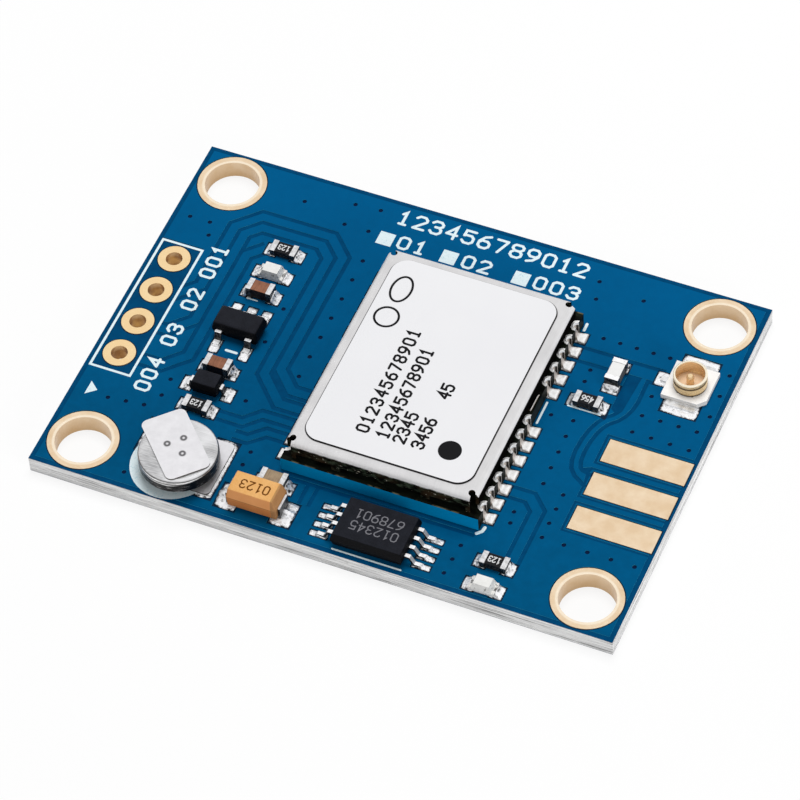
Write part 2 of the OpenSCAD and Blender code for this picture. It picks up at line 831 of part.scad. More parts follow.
// Solder on the lands, with the slopes that climb the parts' metal ends
module solder_lands() {
    color("#c9ccd1") {
        translate([0, 0, core_top])
            linear_extrude(seat_z - core_top)
                land_shapes(0);
        for (at = resistors)
            chip_climbs(at, resistor_h);
        for (at = capacitors)
            chip_climbs(at, capacitor_h);
        for (at = lamps)
            chip_climbs(at, lamp_base_t);
        translate([inductor_at.x, inductor_at.y, seat_z])
            rotate(90)
                both_ends()
                    translate([chip_l / 2, 0, 0])
                        climb(chip_w, land_reach - 0.04, capacitor_h * 0.6);
        translate([tantalum_at.x, tantalum_at.y, seat_z])
            both_ends()
                translate([tantalum_l / 2, 0, 0])
                    climb(tantalum_w - 0.5, 0.55, tantalum_h * 0.3);
        translate([memory_at.x, memory_at.y, seat_z])
            both_ends()
                for (y = row(4, memory_pitch))
                    translate([memory_span / 2, y, 0])
                        climb(lead_w, lead_land_out - 0.1, lead_t);
        translate([regulator_at.x, regulator_at.y, seat_z])
            regulator_places()
                translate([regulator_span / 2, 0, 0])
                    climb(wide_lead_w, lead_land_out - 0.1, lead_t);
        translate([diode_at.x, diode_at.y, seat_z])
            both_ends()
                translate([diode_span / 2, 0, 0])
                    climb(wide_lead_w, diode_land.x / 2, lead_t);
    }
}

module chip_climbs(at, height) {
    translate([at.x, at.y, seat_z])
        both_ends()
            translate([chip_l / 2, 0, 0])
                climb(chip_w - 0.05, land_reach - 0.04, height * 0.6);
}

module regulator_places() {
    rotate(90)
        for (x = regulator_back)
            translate([0, -x, 0])
                children();
    rotate(-90)
        for (x = regulator_front)
            translate([0, x, 0])
                children();
}

// Receiver: its own board with half-round terminals, the parts on it, the shield and the label
module terminal_places() {
    for (y = terminals)
        for (side = [0, 1])
            translate([receiver_x, y, seat_z])
                mirror([side, 0, 0])
                    translate([receiver_w / 2, 0, 0])
                        children();
}

module receiver_board() {
    color("#123a5c")
        difference() {
            translate([receiver_x, receiver_y, 0])
                block([receiver_w, receiver_d, receiver_board_t], seat_z);
            terminal_places()
                translate([0, 0, -bit])
                    cylinder(r = terminal_r + terminal_plating_t, h = receiver_board_t + 2 * bit);
        }
}

module receiver_terminals() {
    color("#e6c794")
        terminal_places()
            difference() {
                union() {
                    cylinder(r = terminal_r + terminal_plating_t, h = receiver_board_t);
                    translate([0, 0, receiver_board_t])
                        cylinder(r = terminal_rim, h = terminal_plating_t / 2);
                }
                translate([0, 0, -bit])
                    cylinder(r = terminal_r, h = receiver_board_t + 1);
                translate([0, -1, -bit])
                    cube([2, 2, receiver_board_t + 1]);
            }
}

module receiver_solder() {
    color("#c9ccd1")
        terminal_places() {
            cylinder(r = terminal_r, h = receiver_board_t * 0.92);
            along_y(2 * terminal_r + 0.14)
                polygon([
                    [0, 0],
                    [terminal_land_out - 0.06, 0],
                    [terminal_land_out - 0.06, 0.06],
                    [terminal_land_out * 0.5, receiver_board_t * 0.45],
                    [terminal_land_out * 0.42, receiver_board_t * 0.85],
                    [0, receiver_board_t * 0.95]
                ]);
        }
}

module receiver_chip() {
    color("#2a2a2e")
        translate([receiver_x - 1.2, receiver_y - 2.6, 0])
            block([inner_chip_w, inner_chip_w, inner_chip_h], receiver_top);
}

module receiver_oscillator() {
    color("#d9d9d6")
        translate([receiver_x + 3.4, receiver_y + 0.4, 0])
            block([2, 2.5, 0.75], receiver_top);
}

module receiver_filter() {
    color("#c8b06a")
        translate([receiver_x + 3.2, receiver_y + 4.8, 0])
            block([1.4, 1.1, 0.5], receiver_top);
}

module shield_side_wall(length) {
    along_y(length) {
        translate([-shield_bend, shield_h - shield_bend])
            intersection() {
                difference() {
                    circle(shield_bend);
                    circle(shield_bend - shield_wall);
                }
                square(shield_bend);
            }
        translate([-shield_wall, 0])
            square([shield_wall, shield_h - shield_bend]);
    }
}

module side_window(y0, y1) {
    middle = (y0 + y1) / 2 - receiver_y;
    translate([0, middle, 0])
        block([far, y1 - y0 + terminal_pitch, 2 * window_h], -window_h);
}

module receiver_shield() {
    flat_w = shield_w - 2 * shield_bend;
    flat_d = shield_d - 2 * shield_bend;
    window_pitch = flat_w / 4;
    color("#d4d6d8")
        translate([receiver_x, receiver_y, receiver_top])
            difference() {
                union() {
                    block([flat_w, flat_d, shield_wall], shield_h - shield_wall);
                    both_ends() {
                        translate([shield_w / 2, 0, 0])
                            shield_side_wall(flat_d);
                        rotate(90)
                            translate([shield_d / 2, 0, 0])
                                shield_side_wall(flat_w);
                    }
                }
                for (sx = [-1, 1])
                    for (sy = [-1, 1])
                        translate([sx * flat_w / 2, sy * flat_d / 2, -bit])
                            cylinder(r = shield_relief_r, h = shield_h + 1);
                side_window(front_terminals[0], front_terminals[6]);
                side_window(back_terminals[4], back_terminals[0]);
                for (x = row(4, window_pitch))
                    translate([x, 0, 0])
                        block([window_pitch * 0.8, far, 2 * window_h], -window_h);
            }
}

module receiver_label() {
    color("#efeff1")
        translate([receiver_x, receiver_y, shield_top])
            linear_extrude(label_t)
                rounded([shield_w - 2 * label_side, shield_d - 2 * label_end], label_r);
}

// Backup cell: a crimped can over a cap, between two welded tabs
cell_r = cell_d / 2;
seal_r = cell_r - crimp_w;

module cell_can() {
    color("#cfd0cf")
        translate([cell_at.x, cell_at.y, cell_low])
            rotate_extrude() {
                translate([0, crimp_top])
                    square([cell_r - cell_shoulder, cell_h - crimp_top]);
                translate([0, crimp_top])
                    square([cell_r, cell_h - crimp_top - cell_shoulder]);
                translate([cell_r - cell_shoulder, cell_h - cell_shoulder])
                    circle(cell_shoulder);
                polygon([
                    [seal_r, crimp_low],
                    [cell_r - 0.25, crimp_low],
                    [cell_r, crimp_top - 0.1],
                    [cell_r, crimp_top + bit],
                    [seal_r, crimp_top + bit]
                ]);
            }
}

module cell_gasket() {
    color("#1d1d1f")
        translate([cell_at.x, cell_at.y, cell_low + 0.12])
            difference() {
                cylinder(r = seal_r, h = crimp_top - 0.12);
                translate([0, 0, -bit])
                    cylinder(r = seal_r - seal_t, h = crimp_top + 1);
            }
}

module cell_cap() {
    color("#c4c5c4")
        translate([cell_at.x, cell_at.y, cell_low])
            rotate_extrude()
                polygon([
                    [0, 0],
                    [seal_r - seal_t - 0.1, 0],
                    [seal_r - seal_t, 0.1],
                    [seal_r - seal_t, crimp_top],
                    [0, crimp_top]
                ]);
}

module cell_top_tab() {
    start = -cell_r - tab_reach;
    end = cell_r - 0.42;
    leg_w = tab_w - 2 * tab_r - tab_t;
    color("#d8d9d8")
        translate([cell_at.x, cell_at.y, 0])
            rotate(-45) {
                translate([(start + end) / 2, 0, cell_top])
                    linear_extrude(tab_t)
                        rounded([end - start, tab_w], tab_r);
                translate([start, -leg_w / 2, seat_z])
                    cube([tab_t, leg_w, cell_top + tab_t / 2 - seat_z]);
                translate([start - 0.4, -leg_w / 2, seat_z])
                    cube([0.45, leg_w, tab_t]);
            }
}

module cell_bottom_tab() {
    start = cell_at.x - 0.9;
    end = cell_right_at.x + cell_right_land.x / 2 - 0.2;
    color("#d8d9d8")
        translate([(start + end) / 2, cell_right_at.y, seat_z])
            linear_extrude(tab_t)
                rounded([end - start, cell_right_land.y - 0.4], 0.3);
}

// Tantalum capacitor: a moulded block with terminals folded under its ends
module tantalum_body() {
    inner_l = tantalum_l - 2 * lead_t;
    low = seat_z + lead_t;
    rise = tantalum_h - lead_t;
    color("#e8a53c")
        translate([tantalum_at.x, tantalum_at.y, 0])
            hull() {
                block([inner_l - draft / 2, tantalum_w - draft / 2, bit], low);
                block([inner_l, tantalum_w, lead_t], low + rise / 2 - lead_t / 2);
                translate([-draft / 2, 0, 0])
                    block([inner_l - 3 * draft, tantalum_w - 1.5 * draft, bit], low + rise - bit);
                translate([inner_l / 2 - 2 * draft, 0, 0])
                    block([draft, tantalum_w - 1.2 * draft, bit], low + rise * 0.86);
            }
}

module tantalum_leads() {
    climb_h = lead_t + (tantalum_h - lead_t) / 2 + lead_t / 2;
    strip_w = tantalum_w - 0.45;
    color("#c9ccd1")
        translate([tantalum_at.x, tantalum_at.y, seat_z])
            both_ends() {
                translate([tantalum_l / 2 - lead_t, -strip_w / 2, 0])
                    cube([lead_t, strip_w, climb_h]);
                translate([tantalum_l / 2 - 0.8, -strip_w / 2, 0])
                    cube([0.8, strip_w, lead_t]);
            }
}

// Coaxial socket: insulating base, ring with two feet that pass through it, and the centre pin
module coax_metal() {
    inner = coax_ring_d / 2 - coax_wall;
    both_ends() {
        translate([-coax_leg_w / 2, inner * 0.9, 0])
            cube([coax_leg_w, coax_wall, coax_base_t]);
        translate([-coax_foot_w / 2, inner * 0.9, 0])
            cube([coax_foot_w, coax_base_w / 2 + coax_foot_out - inner * 0.9, coax_foot_t]);
    }
}

module coax_tail() {
    cylinder(d = coax_pin_d, h = coax_base_t);
    translate([-coax_base_w / 2 - 0.45, -0.2, 0])
        cube([coax_base_w / 2 + 0.45, 0.4, coax_foot_t]);
}

module coax_base() {
    half = coax_base_w / 2;
    color("#eceae4")
        translate([coax_at.x, coax_at.y, seat_z])
            difference() {
                linear_extrude(coax_base_t)
                    polygon([
                        [-half, -half],
                        [half - coax_corner, -half],
                        [half, coax_corner - half],
                        [half, half],
                        [-half, half]
                    ]);
                coax_metal();
                coax_tail();
            }
}

module coax_shell() {
    r = coax_ring_d / 2;
    h = coax_ring_h;
    color("#d9b878")
        translate([coax_at.x, coax_at.y, seat_z]) {
            coax_metal();
            translate([0, 0, coax_base_t])
                rotate_extrude()
                    polygon([
                        [r - coax_wall, 0],
                        [r, 0],
                        [r, h * 0.5],
                        [r - 0.05, h * 0.58],
                        [r - 0.05, h * 0.68],
                        [r, h * 0.76],
                        [r, h - 0.04],
                        [r - 0.04, h],
                        [r - coax_wall, h]
                    ]);
            for (turn = [0, 180])
                rotate(turn)
                    translate([-coax_leg_w / 2, (r - coax_wall) * 0.9, coax_base_t])
                        cube([coax_leg_w, coax_wall, 0.05]);
        }
}

module coax_pin() {
    r = coax_pin_d / 2;
    tip = coax_ring_h * 0.8;
    color("#d9b878")
        translate([coax_at.x, coax_at.y, seat_z]) {
            coax_tail();
            translate([0, 0, coax_base_t])
                rotate_extrude()
                    polygon([[0, -bit], [r, -bit], [r, tip - r * 0.6], [r * 0.6, tip], [0, tip]]);
        }
}

// Memory chip, regulator and diode: mouldings with bent leads
module memory_body() {
    color("#2c2c30")
        translate([memory_at.x, memory_at.y, 0])
            moulding([memory_w, memory_l, memory_h], seat_z + standoff);
}

module memory_leads() {
    color("#c9ccd1")
        translate([memory_at.x, memory_at.y, seat_z])
            both_ends()
                for (y = row(4, memory_pitch))
                    translate([memory_w / 2, y, 0])
                        lead(lead_w, (memory_span - memory_w) / 2, foot_l, standoff + memory_h / 2);
}

module regulator_body() {
    color("#2c2c30")
        translate([regulator_at.x, regulator_at.y, 0])
            moulding([regulator_l, regulator_w, regulator_h], seat_z + standoff);
}

module regulator_leads() {
    regulator_reach = (regulator_span - regulator_w) / 2;
    color("#c9ccd1")
        translate([regulator_at.x, regulator_at.y, seat_z])
            regulator_places()
                translate([regulator_w / 2, 0, 0])
                    lead(wide_lead_w, regulator_reach, foot_l * 0.8, standoff + regulator_h / 2);
}

module diode_body() {
    color("#2c2c30")
        translate([diode_at.x, diode_at.y, 0])
            moulding([diode_l, diode_w, diode_h], seat_z + standoff);
}

module diode_leads() {
    color("#c9ccd1")
        translate([diode_at.x, diode_at.y, seat_z])
            both_ends()
                translate([diode_l / 2, 0, 0])
                    lead(wide_lead_w, (diode_span - diode_l) / 2, foot_l * 0.4, standoff + diode_h / 2);
}

// Chip parts: a plain body between two metal ends
module chip_body(height) {
    block([chip_l - 2 * end_t, chip_w - 2 * end_t, height - 2 * end_t], end_t);
}

module chip_ends(height) {
    both_ends()
        difference() {
            translate([chip_l / 2 - end_l, -chip_w / 2, 0])
                cube([end_l, chip_w, height]);
            chip_body(height);
        }
}

module place_chip(at, turn) {
    translate([at.x, at.y, seat_z])
        rotate(turn)
            children();
}

module resistor_body(i) {
    color("#26262a")
        place_chip(resistors[i - 1], 0)
            chip_body(resistor_h);
}

module resistor_ends(i) {
    color("#d0d2d5")
        place_chip(resistors[i - 1], 0)
            chip_ends(resistor_h);
}

module capacitor_body(i) {
    color("#a07058")
        place_chip(capacitors[i - 1], 0)
            chip_body(capacitor_h);
}

module capacitor_ends(i) {
    color("#d0d2d5")
        place_chip(capacitors[i - 1], 0)
            chip_ends(capacitor_h);
}

module inductor_body() {
    color("#f0efec")
        place_chip(inductor_at, 90)
            chip_body(capacitor_h);
}

module inductor_ends() {
    color("#d0d2d5")
        place_chip(inductor_at, 90)
            chip_ends(capacitor_h);
}

module lamp_carrier(i) {
    color("#e9e4d2")
        place_chip(lamps[i - 1], 0)
            difference() {
                block([chip_l, chip_w, lamp_base_t], 0);
                both_ends()
                    translate([chip_l / 2, 0, -bit])
                        cylinder(r = chip_w * 0.2, h = lamp_base_t + 2 * bit);
            }
}

module lamp_lens(i) {
    lens_l = chip_l - 2 * lamp_end_l;
    color("#f4f4ef")
        place_chip(lamps[i - 1], 0)
            hull() {
                block([lens_l, chip_w, bit], lamp_base_t);
                block([lens_l - 2 * lamp_draft, chip_w - lamp_draft, bit], lamp_base_t + lamp_lens_h - bit);
            }
}

laminate();
solder_mask_top();
solder_mask_bottom();
for (i = numbered) {
    corner_eyelet(i);
    header_eyelet(i);
}
antenna_signal_pad();
antenna_ground_pads();
solder_lands();
receiver_board();
receiver_terminals();
receiver_solder();
receiver_chip();
receiver_oscillator();
receiver_filter();
receiver_shield();
receiver_label();
cell_can();
cell_gasket();
cell_cap();
cell_top_tab();
cell_bottom_tab();
tantalum_body();
tantalum_leads();
coax_base();
coax_shell();
coax_pin();
memory_body();
memory_leads();
regulator_body();
regulator_leads();
diode_body();
diode_leads();
for (i = [1:len(resistors)]) {
    resistor_body(i);
    resistor_ends(i);
}
for (i = [1:len(capacitors)]) {
    capacitor_body(i);
    capacitor_ends(i);
}
inductor_body();
inductor_ends();
for (i = [1:len(lamps)]) {
    lamp_carrier(i);
    lamp_lens(i);
}
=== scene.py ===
import math

import bmesh
import bpy
from mathutils import Matrix, Vector, noise


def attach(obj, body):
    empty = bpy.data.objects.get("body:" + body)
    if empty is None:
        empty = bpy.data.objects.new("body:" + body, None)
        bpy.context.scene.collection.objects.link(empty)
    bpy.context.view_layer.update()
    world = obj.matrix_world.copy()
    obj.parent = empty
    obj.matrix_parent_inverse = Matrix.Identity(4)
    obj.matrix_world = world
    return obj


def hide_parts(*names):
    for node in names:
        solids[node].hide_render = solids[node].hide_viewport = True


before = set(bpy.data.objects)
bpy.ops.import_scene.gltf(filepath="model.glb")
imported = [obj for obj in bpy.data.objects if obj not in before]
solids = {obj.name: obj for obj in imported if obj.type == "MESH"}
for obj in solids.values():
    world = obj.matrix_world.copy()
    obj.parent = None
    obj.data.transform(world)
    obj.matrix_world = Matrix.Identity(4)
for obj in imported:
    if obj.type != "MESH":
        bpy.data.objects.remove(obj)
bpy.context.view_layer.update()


# The laminate is glass cloth pressed in resin and sawn to size on all four sides.
# The cut sides stay bare, so the layers of cloth show there as pale and grey streaks.
MM = 0.001
board_top = 1.2


class Signal:
    """A socket of a material's nodes. Sums on it add Math nodes, and add() adds any other node."""

    def __init__(self, socket):
        self.socket = socket

    def add(self, kind, settings, links, out=0):
        tree = self.socket.id_data
        node = tree.nodes.new("ShaderNode" + kind)
        for name, value in settings.items():
            setattr(node, name, value)
        for name, value in links.items():
            if isinstance(value, Signal):
                tree.links.new(value.socket, node.inputs[name])
            else:
                node.inputs[name].default_value = value
        return Signal(node.outputs[out])

    def math(self, operation, first, second=0.0, clamp=False):
        return self.add("Math", {"operation": operation, "use_clamp": clamp}, {0: first, 1: second})

    def __add__(self, other):
        return self.math("ADD", self, other)

    __radd__ = __add__

    def __sub__(self, other):
        return self.math("SUBTRACT", self, other)

    def __rsub__(self, other):
        return self.math("SUBTRACT", other, self)

    def __mul__(self, other):
        return self.math("MULTIPLY", self, other)

    __rmul__ = __mul__

    def __pow__(self, other):
        return self.math("POWER", self, other)

    def __abs__(self):
        return self.math("ABSOLUTE", self)

    def __gt__(self, other):
        return self.math("GREATER_THAN", self, other)

    def __lt__(self, other):
        return self.math("LESS_THAN", self, other)

    def clamped(self):
        return self.math("ADD", self, 0.0, clamp=True)


def ink(code):
    """The linear colour of a six-digit screen colour."""
    parts = [int(code[i:i + 2], 16) / 255 for i in (1, 3, 5)]
    return [p / 12.92 if p <= 0.04045 else ((p + 0.055) / 1.055) ** 2.4 for p in parts] + [1.0]


def new_finish(name, **fixed):
    """A material with its shader's constant values set, and the surface's place in millimetres."""
    finish = bpy.data.materials.new(name)
    finish.use_nodes = True
    shader = finish.node_tree.nodes["Principled BSDF"]
    for socket, value in fixed.items():
        shader.inputs[socket.replace("_", " ")].default_value = value
    first = Signal(shader.outputs[0])
    metres = first.add("TexCoord", {}, {}, out="Object")
    place = first.add("VectorMath", {"operation": "SCALE"}, {0: metres, "Scale": 1 / MM})
    return finish, place


def axes_of(vector):
    node = vector.add("SeparateXYZ", {}, {0: vector}).socket.node
    return [Signal(socket) for socket in node.outputs]


def facing(place):
    """The three parts of the surface's normal."""
    return axes_of(place.add("NewGeometry", {}, {}, out="Normal"))


def grain(place, size, detail=3.0, roughness=0.55):
    """Noise from 0 to 1 with blotches of about that size in millimetres, one number or one per axis."""
    sizes = size if isinstance(size, tuple) else (size, size, size)
    scaled = place.add("VectorMath", {"operation": "DIVIDE"}, {0: place, 1: sizes})
    links = {"Vector": scaled, "Scale": 1.0, "Detail": detail, "Roughness": roughness}
    return place.add("TexNoise", {}, links)


def between(value, low, high):
    """0 below low, 1 above high, and a straight climb from one to the other."""
    return ((value - low) * (1 / (high - low))).clamped()


def mixed(share, low, high):
    """The colour low where share is 0 and high where it is 1."""
    return share.add("Mix", {"data_type": "RGBA"}, {0: share, 6: low, 7: high}, out=2)


def relief(height, depth):
    """The normal of a surface whose height signal is worth that many millimetres."""
    links = {"Strength": 1.0, "Distance": depth * MM, "Height": height}
    return height.add("Bump", {}, links)


def set_finish(finish, **signals):
    shader = finish.node_tree.nodes["Principled BSDF"]
    for name, signal in signals.items():
        finish.node_tree.links.new(signal.socket, shader.inputs[name.replace("_", " ")])


def cover(finish, *names):
    """Gives CAD nodes a finish."""
    for name in names:
        for slot in solids[name].material_slots:
            slot.material = finish


sawn, place = new_finish("sawn_laminate", Specular_IOR_Level=0.15)
streaks = grain(place, (2.6, 2.6, 0.16), 5.0, 0.6)
nicks = grain(place, (0.35, 0.35, 0.05), 4.0, 0.7)
layers = grain(place, (30.0, 30.0, 0.22), 2.0)
cracks = grain(place, (5.0, 5.0, 0.09), 5.0, 0.65)
from_middle = abs(axes_of(place)[2] - board_top / 2)
up = facing(place)[2]
pale = mixed(between(streaks * 0.6 + layers * 0.4, 0.36, 0.62), ink("#C6C6C7"), ink("#F8F8F7"))
scratched = mixed(between(nicks, 0.60, 0.72), pale, ink("#A5A4A4"))
split = mixed(between(cracks, 0.55, 0.62) * 0.8, scratched, ink("#616060"))
edged = mixed(between(from_middle, 0.50, 0.56) * 0.35, split, ink("#7E8488"))
# Laminate faces that look up or down, such as its floor in the clearances round the lands, are painted
# dark blue as painted shade.
set_finish(
    sawn,
    Base_Color=mixed(between(abs(up), 0.4, 0.6), edged, ink("#0A2740")),
    Roughness=0.5 + nicks * 0.35,
    Normal=relief(streaks + nicks * 0.6, 0.05),
)
cover(sawn, "laminate")

# The solder mask is a film of blue lacquer, printed over the copper on both faces.
# It sinks a little where the copper is etched away, and those lines look darker.
board_depth = 25.4
lacquer, place = new_finish("blue_lacquer", Specular_IOR_Level=0.03)
_, y, z = axes_of(place)
cloud = grain(place, 7.0, 2.0)
weave = grain(place, 0.5, 3.0)
height = abs(z - board_top / 2)
raised = between(height, 0.575, 0.592)
plugged = between(height, 0.567, 0.560)
# Upright walls of the film's steps are painted light teal, as a painted highlight along the edges of the
# tracks.
step = (abs(facing(place)[2]) < 0.5) * (height > 0.571)
# The lacquer over copper is painted lighter towards the back edge, as painted light.
backwards = between(y, -board_depth / 2, board_depth / 2)
copper_blue = mixed(between(cloud * 0.5 + weave * 0.5, 0.35, 0.65), ink("#004D75"), ink("#005581"))
lit_blue = mixed(backwards * 0.5, copper_blue, ink("#005E96"))
etched = mixed(between(weave, 0.3, 0.7), ink("#003F68"), ink("#004873"))
film_blue = mixed(plugged, mixed(raised, etched, lit_blue), ink("#0B1C3C"))
set_finish(
    lacquer,
    Base_Color=mixed(step, film_blue, ink("#3A9CB8")),
    Roughness=0.30 + weave * 0.16,
    Normal=relief(cloud + weave * 0.25, 0.03),
)
cover(lacquer, "solder_mask_bottom")


def cad_copy(node):
    """A CAD node's mesh in millimetres."""
    shape = bmesh.new()
    shape.from_mesh(solids[node].data)
    bmesh.ops.scale(shape, vec=(1 / MM, 1 / MM, 1 / MM), verts=shape.verts)
    bmesh.ops.remove_doubles(shape, verts=shape.verts, dist=0.0005)
    return shape


def add_piece(name, shape, finish, stands_for=()):
    """Shows a mesh that was made in millimetres, and frees it."""
    bmesh.ops.scale(shape, vec=(MM, MM, MM), verts=shape.verts)
    mesh = bpy.data.meshes.new(name)
    shape.to_mesh(mesh)
    shape.free()
    mesh.materials.append(finish)
    piece = bpy.data.objects.new(name, mesh)
    bpy.context.collection.objects.link(piece)
    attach(piece, "root")
    if stands_for:
        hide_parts(*stands_for)


def eased(path):
    """The path with every corner cut twice, so that its bends turn into curves."""
    points = [Vector(point) for point in path]
    for _ in range(2):
        cut = [points[0]]
        for first, second in zip(points, points[1:]):
            cut += [first.lerp(second, 0.25), first.lerp(second, 0.75)]
        points = cut + [points[-1]]
    return points


def left_of(points, i):
    """The unit vector to the left of a path at one of its points."""
    ahead = points[min(i + 1, len(points) - 1)] - points[max(i - 1, 0)]
    return Vector((-ahead.y, ahead.x)).normalized()


# The antenna's track is a strip of copper under the film, with a clearance etched along both sides.
# It is thinner than the solids show it and swings further out before it meets its pad, so the top film
# is a reshaped copy in which the two clearances have moved.
track_in_solids = eased([(12.85, 5.25), (12.85, 2.75), (11.7, 1.25), (11.7, -2.2), (12.8, -2.9)])
track = eased([(12.89, 5.25), (12.95, 2.5), (11.5, 1.15), (11.3, -2.2), (12.8, -2.9)])
track_core, track_reach, track_slimming = 0.2, 0.56, 0.13
pad_hold, pad_ease = 0.45, 0.5
top_film = cad_copy("solder_mask_top")
for vertex in top_film.verts:
    here = vertex.co.xy
    best = None
    for i, (first, second) in enumerate(zip(track_in_solids, track_in_solids[1:])):
        along = second - first
        share = max(0.0, min(1.0, (here - first).dot(along) / along.length_squared))
        away = (here - first.lerp(second, share)).length
        if best is None or away < best[0]:
            best = (away, i, share, along.cross(here - first) > 0)
    away, i, share, on_left = best
    if not track_core <= away <= track_reach:
        continue
    outward = left_of(track, i).lerp(left_of(track, i + 1), share).normalized()
    offset = (away - track_slimming) * (1 if on_left else -1)
    moved = track[i].lerp(track[i + 1], share) + outward * offset
    to_pad = (track_in_solids[i].lerp(track_in_solids[i + 1], share) - track_in_solids[-1]).length
    vertex.co.xy = here.lerp(moved, max(0.0, min(1.0, (to_pad - pad_hold) / pad_ease)))
add_piece("lacquer_top", top_film, lacquer, ["solder_mask_top"])

# The white print is ink screened onto the lacquer: a frame round the header holes, counting figures
# beside them and along the back edge, three squares to tick, and the outlines of some parts.
screen_ink, place = new_finish("screen_ink", Specular_IOR_Level=0.1)
pinholes = grain(place, 0.14, 3.0, 0.7)
set_finish(
    screen_ink,
    Base_Color=mixed(between(pinholes, 0.28, 0.46), ink("#BFDFE9"), ink("#E6F5F9")),
    Roughness=0.5 + pinholes * 0.2,
    Normal=relief(pinholes, 0.006),
)
figures = {
    "0": [[(1, 0), (3, 0), (4, 1), (4, 5), (3, 6), (1, 6), (0, 5), (0, 1), (1, 0)]],
    "1": [[(0.8, 4.8), (2, 6), (2, 0)], [(0.8, 0), (3.2, 0)]],
    "2": [[(0, 5), (1, 6), (3, 6), (4, 5), (4, 4), (0, 0)], [(0, 0), (4, 0)]],
    "3": [
        [(0, 5), (1, 6), (3, 6), (4, 5), (4, 4), (3, 3.2), (1.5, 3.2)],
        [(3, 3.2), (4, 2.2), (4, 1), (3, 0), (1, 0), (0, 1)],
    ],
    "4": [[(3, 0), (3, 6), (0, 2)], [(0, 2), (4, 2)]],
    "5": [
        [(4, 6), (0.4, 6), (0.2, 3.4)],
        [(0.2, 3.4), (1, 3.8), (3, 3.8), (4, 2.8), (4, 1), (3, 0), (1, 0), (0, 1)],
    ],
    "6": [
        [(3.6, 6), (1.6, 5.2), (0, 3), (0, 1), (1, 0), (3, 0), (4, 1), (4, 2.4)],
        [(4, 2.4), (3, 3.4), (1, 3.4), (0, 2.4)],
    ],
    "7": [[(0, 6), (4, 6)], [(4, 6), (1.6, 0)]],
    "8": [
        [(1, 3.2), (3, 3.2), (4, 4.2), (4, 5.2), (3.2, 6), (0.8, 6), (0, 5.2), (0, 4.2), (1, 3.2)],
        [(1, 3.2), (0, 2.2), (0, 1), (1, 0), (3, 0), (4, 1), (4, 2.2), (3, 3.2)],
    ],
}
figures["9"] = [[(4 - a, 6 - b) for a, b in path] for path in figures["6"]]


def ribbon(shape, path, stroke, layer=0):
    """Adds a flat line along a path, with mitred bends and round ends. Later layers lie a little lower."""
    level = -0.002 * layer
    points = [Vector(point) for point in path]
    ring = (points[0] - points[-1]).length < 1e-6
    if ring:
        points.pop()
    left, right = [], []
    for i, point in enumerate(points):
        normals = []
        for a, b in ((i - 1, i), (i, i + 1)):
            if ring or (a >= 0 and b < len(points)):
                step = points[b % len(points)] - points[a]
                normals.append(Vector((-step.y, step.x)).normalized())
        total = sum(normals, Vector((0, 0))) * (2 / len(normals))
        offset = total * (stroke / total.length_squared)
        left.append(shape.verts.new((*(point + offset), level)))
        right.append(shape.verts.new((*(point - offset), level)))
    for i in range(len(points) if ring else len(points) - 1):
        j = (i + 1) % len(points)
        shape.faces.new((left[i], right[i], right[j], left[j]))
    if ring:
        return
    for end, inner, side_a, side_b in ((0, 1, left, right), (-1, -2, right, left)):
        outward = (points[end] - points[inner]).normalized()
        across = Vector((side_a[end].co - side_b[end].co)[:2]) / 2
        cap = [side_a[end]]
        for k in range(1, 6):
            turn = math.pi * k / 6
            rim = points[end] + across * math.cos(turn) + outward * (stroke / 2 * math.sin(turn))
            cap.append(shape.verts.new((*rim, level)))
        shape.faces.new(cap + [side_b[end]])


def write_figures(shape, text, start, turn, size, pitch, stroke):
    """Adds figures along a line that starts at a point and runs at an angle in degrees."""
    along = Vector((math.cos(math.radians(turn)), math.sin(math.radians(turn))))
    upward = Vector((-along.y, along.x))
    for i, figure in enumerate(text):
        corner = Vector(start) + along * (i * pitch)
        for layer, path in enumerate(figures[figure]):
            points = [corner + along * (a * size[0] / 4) + upward * (b * size[1] / 6) for a, b in path]
            ribbon(shape, points, stroke, layer)


def flat_area(shape, outline):
    shape.faces.new([shape.verts.new((*point, 0)) for point in outline])


def round_outline(middle, radius_x, radius_y, count=48):
    turns = [2 * math.pi * k / count for k in range(count)]
    return [(middle[0] + radius_x * math.cos(t), middle[1] + radius_y * math.sin(t)) for t in turns]


def raise_print(shape, low, high):
    """Turns the flat areas of a print into a film between two heights."""
    lifted = set(bmesh.ops.extrude_face_region(shape, geom=shape.faces[:])["geom"])
    for vertex in shape.verts:
        vertex.co.z = high + vertex.co.z if vertex in lifted else low
    bmesh.ops.recalc_face_normals(shape, faces=shape.faces)


silk = bmesh.new()
silk_foot, silk_top, disc_top = 1.198, 1.212, 1.208
line, frame_line, hook_line = 0.17, 0.15, 0.2
frame_left, frame_right, frame_front, frame_back = -17.64, -15.08, -5.18, 4.96
header_frame = [
    (frame_left, frame_back),
    (frame_left, frame_front),
    (frame_right, frame_front),
    (frame_right, frame_back),
]
ribbon(silk, header_frame + header_frame[:1], frame_line)
for text, start_y in (("001", 3.2), ("02", 0.6), ("03", -2.25), ("004", -5.85)):
    write_figures(silk, text, (-13.65, start_y), 90, size=(0.55, 0.85), pitch=0.93, stroke=line)
write_figures(silk, "123456789012", (-5.14, 11.05), 0, size=(0.66, 0.94), pitch=1.03, stroke=line)
tick_front, tick_back, tick_side = 9.18, 10.15, 0.97
for text, left, start_x in (("01", -5.74, -4.4), ("02", -1.67, -0.26), ("003", 2.92, 4.3)):
    right = left + tick_side
    flat_area(silk, [(left, tick_front), (right, tick_front), (right, tick_back), (left, tick_back)])
    write_figures(silk, text, (start_x, 9.3), 0, size=(0.62, 0.85), pitch=1.04, stroke=line)
first_hole_mark = [(-17.0, -7.3), (-16.4, -6.8), (-17.0, -6.3)]
flat_area(silk, first_hole_mark)
